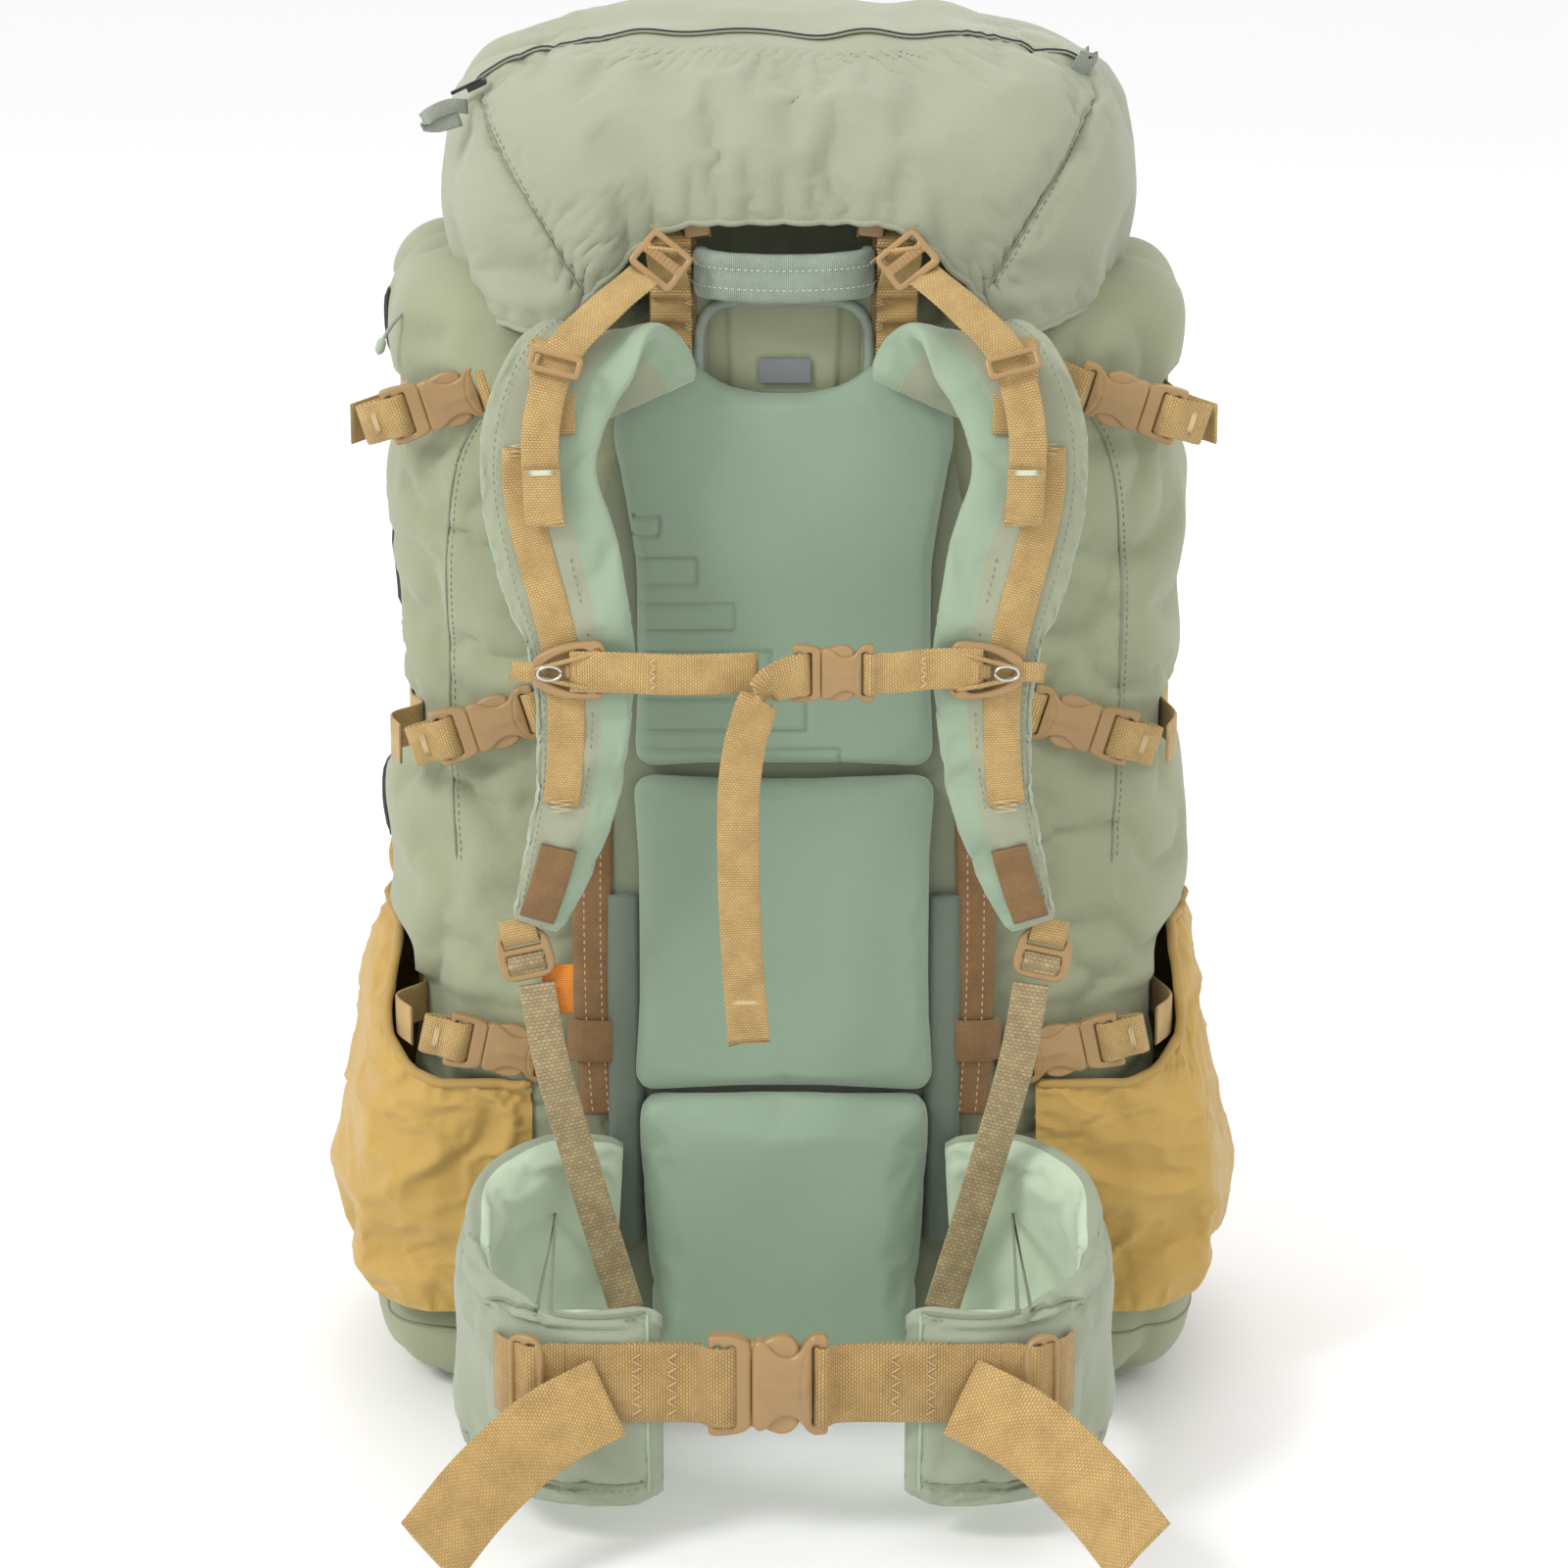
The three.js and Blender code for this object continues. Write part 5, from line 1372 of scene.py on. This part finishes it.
def make_bag_details():
    bag = bpy.data.objects["bag_shell"]
    toward_pack = (0, 1, 0)
    for name, keep in LEFT_AND_RIGHT:
        front = [(-150, -60, 690), (-176, -60, 655), (-196, -60, 620), (-205, -60, 560), (-206, -60, 470),
                 (-203, -60, 360)]
        seam(f"bag_seam_{name}", bag, mirrored(front, keep), toward_pack, "pack", SAGE_DARK, THREAD_GREEN)
        rear = [(-120, 400, 690), (-150, 400, 600), (-160, 400, 420), (-160, 400, 220), (-150, 400, 60)]
        seam(f"bag_rear_seam_{name}", bag, mirrored(rear, keep), (0, -1, 0), "pack", SAGE_DARK, THREAD_GREEN)
    ring = bag_surface[int(len(bag_surface) * 0.10)]
    tube("bag_base_seam", np.r_[ring, ring[:1]], 1.1 * MM, "pack", SAGE_DARK, curved=False,
         sides=6)
    # the side zip: dark tape down the left side, with its coil
    points = [(-400, 128, z) for z in range(700, 344, -6)]
    tape = onto(bag, mm(points), (1, 0, 0), 0.4 * MM)
    ribbon("side_zip_tape", tape, 13 * MM, "pack", ZIP_TAPE, across=(0, 1, 0), thick=1.0 * MM, curved=False)
    tube("side_zip_coil", onto(bag, mm(points), (1, 0, 0), 1.0 * MM), 1.6 * MM, "pack", BLACK_PLASTIC,
         curved=False)
    # a flat rear pocket with its zip
    pocket = [(-120, 400, 606), (-124, 400, 500), (-124, 400, 330), (0, 400, 322), (124, 400, 330),
              (124, 400, 500),
              (120, 400, 606)]
    seam("rear_pocket_edge", bag, pocket, (0, -1, 0), "pack", SAGE_DARK, THREAD_GREEN, radius=1.4 * MM)
    across_back = [(x, 400, 606) for x in range(-120, 124, 8)]
    ribbon("rear_pocket_zip", onto(bag, mm(across_back), (0, -1, 0), 0.6 * MM), 12 * MM, "pack", ZIP_TAPE,
           across=(0, 0, 1),
           thick=1.0 * MM, curved=False)
    tube("rear_pocket_coil", onto(bag, mm(across_back), (0, -1, 0), 1.2 * MM), 1.5 * MM, "pack",
         BLACK_PLASTIC,
         curved=False)


def make_compression_straps():
    for level, (x, y, z, lean, out_by) in SIDE_STRAPS.items():
        low = z - PLUG_REACH * math.sin(math.radians(lean))
        reach = x + PLUG_REACH * math.cos(math.radians(lean))
        lean_in = mm([(-reach - 4, y + 9, low), (-out_by - 2, y + 36, low)])
        behind = bag_bands[level][bag_bands[level][:, 1] > (y + 60) * MM]
        behind = behind[np.argsort(np.arctan2(behind[:, 0], behind[:, 1] - BAG_MIDDLE))][::BAND_STEP]
        behind[:, 2] = low * MM
        path = np.r_[lean_in, behind, mirrored(lean_in, -1)[::-1]]
        made = ribbon(f"compression_{level}_web", path, WEB, "pack", across=(0, 0, 1))
        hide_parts(f"compression_strap_{level}")


def make_sleeves():
    for name, keep in LEFT_AND_RIGHT:
        stay = mm([(-117, -5, 400), (-118, -6.5, 330), (-117, -6.5, 260), (-114, -5.5, 204)])
        ribbon(f"stay_sleeve_{name}", mirrored(stay, keep), 25 * MM, "pack", SLEEVE_WEB, thick=5 * MM,
               cup=-1.5 * MM)
        for offset in (-5, 5):
            edge = stay + np.array([offset * MM, -4.4 * MM, 0])
            dashes(mirrored(smooth(edge), keep), "pack", THREAD_TAN)
        band = mm([(-134, -5, 254), (-126, -11, 254), (-117, -12, 254), (-106, -11, 254), (-99, -5, 254)])
        ribbon(f"stay_band_{name}", mirrored(band, keep), 27 * MM, "pack", SLEEVE_WEB, across=(0, 0, 1))
        grey = []
        for z in np.linspace(348, 120, 60):
            grey.append((-98, -8 - 2 * math.sin((348 - z) / 228 * math.pi), z))
        ribbon(f"grey_sleeve_{name}", mirrored(mm(grey), keep), 22 * MM, "pack", GREY_SLEEVE, thick=9 * MM,
               curved=False,
               cup=-2.5 * MM)


def make_handle():
    path = smooth(mm([(-50, -6, 738), (-48, -15, 738), (-36, -26, 738), (0, -29.5, 737), (36, -26, 738),
                      (48, -15, 738),
                      (50, -6, 738)]), 2 * MM)
    _, across, out = frames_along(path, (0, 0, 1))
    turn = np.linspace(0, 2 * math.pi, 48, endpoint=False)
    u = np.sign(np.cos(turn)) * np.abs(np.cos(turn)) ** (2 / 4)
    w = np.sign(np.sin(turn)) * np.abs(np.sin(turn)) ** (2 / 3)
    dent = 1.1 * MM * (bell(u, 0.38, 0.05) + bell(u, -0.42, 0.05))
    depth = 5 * MM - dent
    sideways = across[:, None] * (u * 14.5 * MM)[None, :, None]
    rows = path[:, None, :3] + sideways + out[:, None] * (w * depth)[None, :, None]
    rows += out[:, None] * (0.5 * MM * ripple(rows, 12 * MM, 71))[..., None]
    sizes = (u * 14.5 * MM, lengths(path))
    made = grid_mesh("handle_wrap", rows, [HANDLE_WEB], (np.r_[sizes[0], sizes[0][:1]], sizes[1]),
                     wrap=True, caps=True)
    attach(made, "pack")
    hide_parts("haul_handle")
    for height in (5.6, -6.1):
        line = path[:, :3] + np.array([0, 0, height * MM]) - out * 5.2 * MM * np.sign(out[len(out) // 2, 1])
        dashes(line, "pack", THREAD_PALE, length=2.2 * MM, gap=1.6 * MM)
    # the arched edge of the panel below the handle, and the lighter panel behind it
    arch = mm([(-50, -5.5, 668), (-51, -5.5, 690), (-48, -5.5, 708), (-38, -5.5, 717), (0, -5.5, 719),
               (38, -5.5, 717),
               (48, -5.5, 708), (51, -5.5, 690), (50, -5.5, 668)])
    tube("panel_arch_binding", arch, 3.4 * MM, "pack", HANDLE_WEB)
    rows = []
    for z in np.linspace(744, 655, 40):
        row = []
        for x in np.linspace(-49, 49, 60):
            step_in = 2.6 / (1 + math.exp((abs(x) - 33 - (z - 700) * 0.04) / 0.6))
            row.append((x, 5.0 - step_in - 0.8 * math.sin(z / 13), z))
        rows.append(row)
    panel = grid_mesh("centre_panel", mm(rows), [SAGE])
    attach(panel, "pack")
    tag = slab("blank_size_tag",
               rounded_outline(mm([(-15, 668), (16, 668), (16, 683), (-15, 683)]), 1 * MM), -1.6 * MM,
               -0.4 * MM, LABEL, 0.3 * MM)
    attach(tag, "pack")


def make_ladders():
    for name, keep in LEFT_AND_RIGHT:
        stations = [(-67, -4, 768)]
        for i in range(5):
            z = 758 - i * 15
            stations += [(-67, -6.5, z + 4), (-67, -11.5, z), (-67, -12, z - 4), (-67, -7, z - 7)]
        stations.append((-67, -5.5, 684))
        made = ribbon(f"ladder_web_{name}", mirrored(mm(stations), keep), 24 * MM, "pack", step=1.5 * MM)
        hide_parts(f"lifter_anchor_{name}")
        ribbon(f"ladder_backing_{name}",
               mirrored(mm([(-66, -4.6, 770), (-66, -5.2, 720), (-66, -5.4, 680)]), keep),
                      28 * MM, "pack", SLEEVE_WEB)
        for i in range(5):
            z = 750 - i * 15
            zigzag(mirrored(mm([-57, -8.4, z]), keep), (1, 0, 0), (0, 0, 1), 6 * MM, 7 * MM, 7, "pack",
                   THREAD_TAN)
        # the lifter's tri-glide with its ribbed bar and pin
        centre = mirrored(mm([-72, -38, 750]), keep)
        seat = seat_at(centre, (-keep * 0.62, -0.30, -0.72), (0, -1, 0.25))
        outline = rounded_outline(mm([(-13, -15), (13, -16), (14, 16), (-13, 15)]), 5 * MM)
        holes = [rounded_box(-9 * MM, -11.6 * MM, -4 * MM, 11.6 * MM),
                 rounded_box(2.6 * MM, -11.6 * MM, 9 * MM, 11.6 * MM)]
        glide = plate(f"lifter_glide_{name}", outline, holes, 4.6 * MM, seat, "pack", bevel=1.4 * MM)
        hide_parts(f"lifter_buckle_{name}")
        pin = [at(seat, -12 * MM, -18 * MM, 1 * MM), at(seat, -12 * MM, 18 * MM, 1 * MM)]
        tube(f"lifter_pin_{name}", np.array(pin), 3 * MM, "pack", TAN_PLASTIC, curved=False,
             sides=16)
        for i in range(8):
            t = (-10 + i * 20 / 7) * MM
            rib = [at(seat, -3.6 * MM, t, 2.6 * MM), at(seat, 2.0 * MM, t, 2.6 * MM)]
            tube(f"lifter_rib_{name}_{i}", np.array(rib), 0.7 * MM, "pack", TAN_PLASTIC,
                 curved=False, sides=6)
        # from the ladder up to the glide
        up = mm([(-66, -7, 726), (-68, -22, 738), (-70, -33, 751), (-69, -38, 757)])
        ribbon(f"lifter_feed_{name}", mirrored(up, keep), SHOULDER_WEB, "pack")
        # small lid buckle in the gap
        knob_seat = seat_at(mirrored(mm([-51, -12, 763]), keep), (keep, 0, 0.1), (0, -1, 0))
        plate(f"lid_tab_{name}", rounded_box(-8 * MM, -4 * MM, 7 * MM, 4 * MM, 2 * MM), [], 4 * MM,
              knob_seat, "pack", bevel=1.2 * MM)
        tube(f"lid_tab_pin_{name}",
             np.array([at(knob_seat, 7 * MM, -5 * MM, 0), at(knob_seat, 7 * MM, 5 * MM, 0)]), 2.4 * MM,
             "pack", TAN_PLASTIC, curved=False)


def make_strap_fittings():
    for name, keep in LEFT_AND_RIGHT:
        cover = bpy.data.objects[f"shoulder_strap_{name}_cover"]
        # keeper ring on its patch of webbing
        patch = onto(cover, mirrored(mm([(-136 + i * 0.2, -200, 706 - i * 5) for i in range(11)]), keep),
                     (0, 1, 0), 1.2 * MM)
        if len(patch) > 3:
            ribbon(f"keeper_patch_{name}", patch, 26 * MM, "pack", curved=False)
        seat = seat_at(mirrored(mm([-133, -90, 699]), keep), (-keep * 0.25, -0.5, -0.8), (0, -1, 0.5))
        plate(f"keeper_{name}", rounded_box(-7 * MM, -16 * MM, 7 * MM, 16 * MM, 3 * MM),
                     [rounded_box(-3.6 * MM, -12.4 * MM, 3.6 * MM, 12.4 * MM, 1 * MM)], 4 * MM, seat,
                     "pack", bevel=1.2 * MM,
                     level=1.2 * MM)
        # folded end of the lifter strap
        fold = mm([(-139, -102.4, 606), (-139, -103.6, 607.5), (-140, -104, 612), (-141, -104.2, 640)])
        ribbon(f"lifter_fold_{name}", mirrored(fold, keep), SHOULDER_WEB, "pack", step=2 * MM)
        zigzag(mirrored(mm([-141, -105.4, 638]), keep), (1, 0, 0), (0, 0, 1), 18 * MM, 3 * MM, 7, "pack",
               THREAD_PALE)
        # the adjuster at the strap's lower end
        middle_of = mirrored(mm([-157, -62, 328]), keep)
        seat = seat_at(middle_of, (keep * 0.22, 0.02, -1), (0, -1, 0.05))
        outline = smooth(mm([(-15, 11, 0), (-11, 15, 0), (0, 17, 0), (11, 16, 0), (15, 12, 0), (16, 0, 0),
                             (15, -12, 0),
                             (11, -16, 0), (0, -17, 0), (-11, -15, 0), (-15, -11, 0), (-16, 0, 0)]),
                             1.5 * MM)[:, :2]
        holes = [rounded_box(-11.5 * MM, -11.4 * MM, -5 * MM, 11.4 * MM),
                 rounded_box(-1 * MM, -11.4 * MM, 3.4 * MM, 11.4 * MM),
                 rounded_box(7.2 * MM, -11.4 * MM, 11.6 * MM, 11.4 * MM)]
        lock = plate(f"adjuster_{name}", outline, holes, 5 * MM, seat, "pack", bevel=1.6 * MM)
        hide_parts(f"strap_adjuster_{name}")
        hold = [at(seat, -24 * MM, 0, 1 * MM), at(seat, -17 * MM, 0, 3.4 * MM),
                at(seat, -13.5 * MM, 0, 4.2 * MM),
                at(seat, -9 * MM, 0, 2 * MM), at(seat, -7 * MM, 0, -3 * MM), at(seat, -14 * MM, 0, -5 * MM)]
        ribbon(f"adjuster_loop_{name}", np.array(hold), SHOULDER_WEB, "pack", across=seat[2], step=1.5 * MM)
        pull = [at(seat, 14 * MM, 0, 0.5 * MM), at(seat, 9 * MM, 0, 1 * MM), at(seat, 5 * MM, 0, 4.4 * MM),
                at(seat, 1 * MM, 0, 2 * MM), at(seat, -1 * MM, 0, -4 * MM)]
        ribbon(f"adjuster_pull_{name}", np.array(pull), SHOULDER_WEB, "pack", LOWER_WEB, across=seat[2],
               step=1.5 * MM)
    for name, low, high, y, material in (
        ("orange_tab_low", (-147, 288), (-128, 320), -57, ORANGE),
        ("orange_tab_high", (138, 492), (148, 518), -76, ORANGE),
        ("red_tab", (144, 290), (150, 306), -60, RED)):
        stations = mm([((low[0] + high[0]) / 2, y, high[1]),
                       ((low[0] + high[0]) / 2, y - 2, (low[1] + high[1]) / 2),
                       ((low[0] + high[0]) / 2, y, low[1])])
        ribbon(name, stations, (high[0] - low[0]) * MM, "pack", material, thick=1.0 * MM)


def make_lid_details():
    lid = bpy.data.objects["lid_shell"]
    arc = [(x, 66 + 20 * (x / 190) ** 2, 1000) for x in range(-186, 188, 4)]
    line = onto(lid, mm(arc), (0, 0, -1), 0.3 * MM)
    ribbon("lid_zip_tape", line, 9 * MM, "lid", SAGE_DARK, across=(0, 1, 0), thick=1.2 * MM, curved=False)
    coil = onto(lid, mm(arc), (0, 0, -1), 0.9 * MM)
    tube("lid_zip_coil", coil, 1.2 * MM, "lid", BLACK_PLASTIC, curved=False)
    for name, keep in LEFT_AND_RIGHT:
        seam_line = [(-182, -300, 829), (-165, -300, 800), (-147, -300, 770), (-130, -300, 742),
                     (-121, -300, 728)]
        seam(f"lid_seam_{name}", lid, mirrored(seam_line, keep), (0, 1, 0), "lid", SAGE_DARK, THREAD_GREEN,
             radius=1.0 * MM)
    left_tab = mm([(-190, 60, 824), (-200, 50, 826), (-212, 40, 822), (-216, 38, 818), (-208, 42, 816),
                   (-194, 52, 818)])
    ribbon("lid_ribbon_left", left_tab, 9 * MM, "lid", RIBBON_WEB, across=(0, 0.5, 1), thick=0.9 * MM)
    right_tab = mm([(176, 84, 832), (180, 78, 842), (184, 72, 852), (183, 70, 855), (179, 73, 848),
                    (173, 80, 833)])
    ribbon("lid_ribbon_right", right_tab, 10 * MM, "lid", RIBBON_WEB, across=(1, 0.4, -0.4), thick=0.9 * MM)
    # the rear strap
    seat, length, base, _, thick = side_release("lid_rear", "lid_plug", "lid_socket", mm([0, 299, 755]),
                                                (0, 0, -1),
                                                   (0, 1, 0), WEB, ("lid", "pack"))
    high = thick * 0.37 + 1.6 * MM
    run = [*over_bar(seat, -base, -base * 0.84, high, 8 * MM, -1)][::-1]
    run += list(mm([(0, 293, 792), (0, 290, 802), (0, 281, 818), (0, 272, 834)]))
    made = ribbon("lid_rear_web", np.array(run), WEB, "lid")
    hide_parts("lid_webbing")
    anchor = [*over_bar(seat, length, length * 0.87, high, 8 * MM, 1)][::-1]
    anchor += list(mm([(0, 294, 700), (0, 293, 670), (0, 292.5, 652)]))
    ribbon("lid_rear_anchor", np.array(anchor), WEB, "pack")
    zigzag(mm([0, 294.5, 664]), (1, 0, 0), (0, 0, 1), 20 * MM, 10 * MM, 8, "pack", THREAD_TAN)


def make_pull_cord():
    """The side zip's pull cord, which sticks out at the bag's upper left corner and ends in a ball."""
    route = smooth(mm([(-214, 70, 702), (-221, 62, 704), (-230, 55, 700), (-238, 50, 692),
                       (-243, 47, 684)]), 2 * MM)
    cord = tube("zip_pull_cord", route, 1.3 * MM, "pack", RIBBON_WEB, curved=False)
    ball = tube("zip_pull_end",
                np.array([route[-1] + [0, 0, 1.5 * MM], route[-1] - [1.5 * MM, 0, 4 * MM],
                          route[-1] - [3 * MM, 0, 9 * MM]]),
                3.0 * MM, "pack", BINDING, sides=16, step=1 * MM)


def make_belt_details():
    for name, keep in LEFT_AND_RIGHT:
        body = f"belt_{name}"
        pad = bpy.data.objects[f"belt_pad_{name}"]
        # the band behind the webbing, a bartack tab and the edge tape
        for height, label in ((150, "top"), (42, "low")):
            line = [(x, -400, height) for x in range(-178, -78, 4)]
            tape = onto(pad, mirrored(mm(line), keep), (0, 1, 0), 0.5 * MM)
            if len(tape) > 4:
                tube(f"belt_piping_{label}_{name}", tape, 1.3 * MM, body, SAGE_DARK,
                     curved=False, sides=6)
                dashes(tape + np.array([0, -0.6 * MM, -3.6 * MM]), body, THREAD_GREEN)
        edge = [(-81, -400, z) for z in range(150, 32, -4)]
        line = onto(pad, mirrored(mm(edge), keep), (0, 1, 0), 0.4 * MM)
        if len(line) > 4:
            tube(f"belt_end_seam_{name}", line, 1.2 * MM, body, BINDING, curved=False,
                 sides=6)
        tab = mm([(-186, -130, 150), (-190, -132, 142), (-190.5, -133, 128), (-189, -133, 118)])
        ribbon(f"belt_tab_{name}", mirrored(tab, keep), 10 * MM, body, SLEEVE_WEB, across=(0.1, 1, 0))
        tail = mm([(-128, -206.5, 110), (-140, -208, 110), (-150, -212, 110), (-158, -204, 110),
                   (-166, -198, 110),
                   (-172, -186, 110)])
        ribbon(f"belt_anchor_web_{name}", mirrored(tail, keep), WIDE_WEB, body, BELT_WEB, across=(0, 0, 1))


# ---- hardware: the CAD pieces stay, with softened edges and moulded plastic ----
def dress_hardware():
    plastics = ("buckle", "socket", "plug", "ladder", "adjuster", "slider", "anchor")
    for name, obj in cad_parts.items():
        if obj.hide_render:
            continue
        if name.startswith("stay"):
            finish_node(obj, STEEL, 0.5 * MM)
        elif name == "frame_sheet":
            # the frame sheet takes the darker shaded sage: painted shade where the bag's cloth lies in shadow
            finish_node(obj, SAGE_DARK, 0.5 * MM)
        elif name.endswith("zip_slider"):
            finish_node(obj, BLACK_PLASTIC, 0.4 * MM)
        elif any(word in name for word in plastics):
            finish_node(obj, TAN_PLASTIC, 0.7 * MM)
        elif name == "haul_handle":
            finish_node(obj, HANDLE_WEB, 1.5 * MM)
        else:
            finish_node(obj, TAN_WEB, 0.4 * MM)


def finish_node(obj, material, bevel):
    while len(obj.material_slots) < 1:
        obj.data.materials.append(None)
    for place in obj.material_slots:
        place.link = "OBJECT"
        place.material = material
    edge = obj.modifiers.new("edge", "BEVEL")
    edge.width = bevel
    edge.segments = 2
    edge.limit_method = "ANGLE"
    edge.angle_limit = math.radians(35)


make_stage()
bag_surface, bag_bands = make_bag()
make_lid()
make_pockets()
make_pads()
make_shoulder_straps()
make_belt()
make_webbing()
make_belt_front()
make_belt_locks()
make_side_buckles()
make_sternum()
make_bag_details()
make_compression_straps()
make_sleeves()
make_handle()
make_ladders()
make_strap_fittings()
make_lid_details()
make_pull_cord()
make_belt_details()
dress_hardware()
make_stitches()
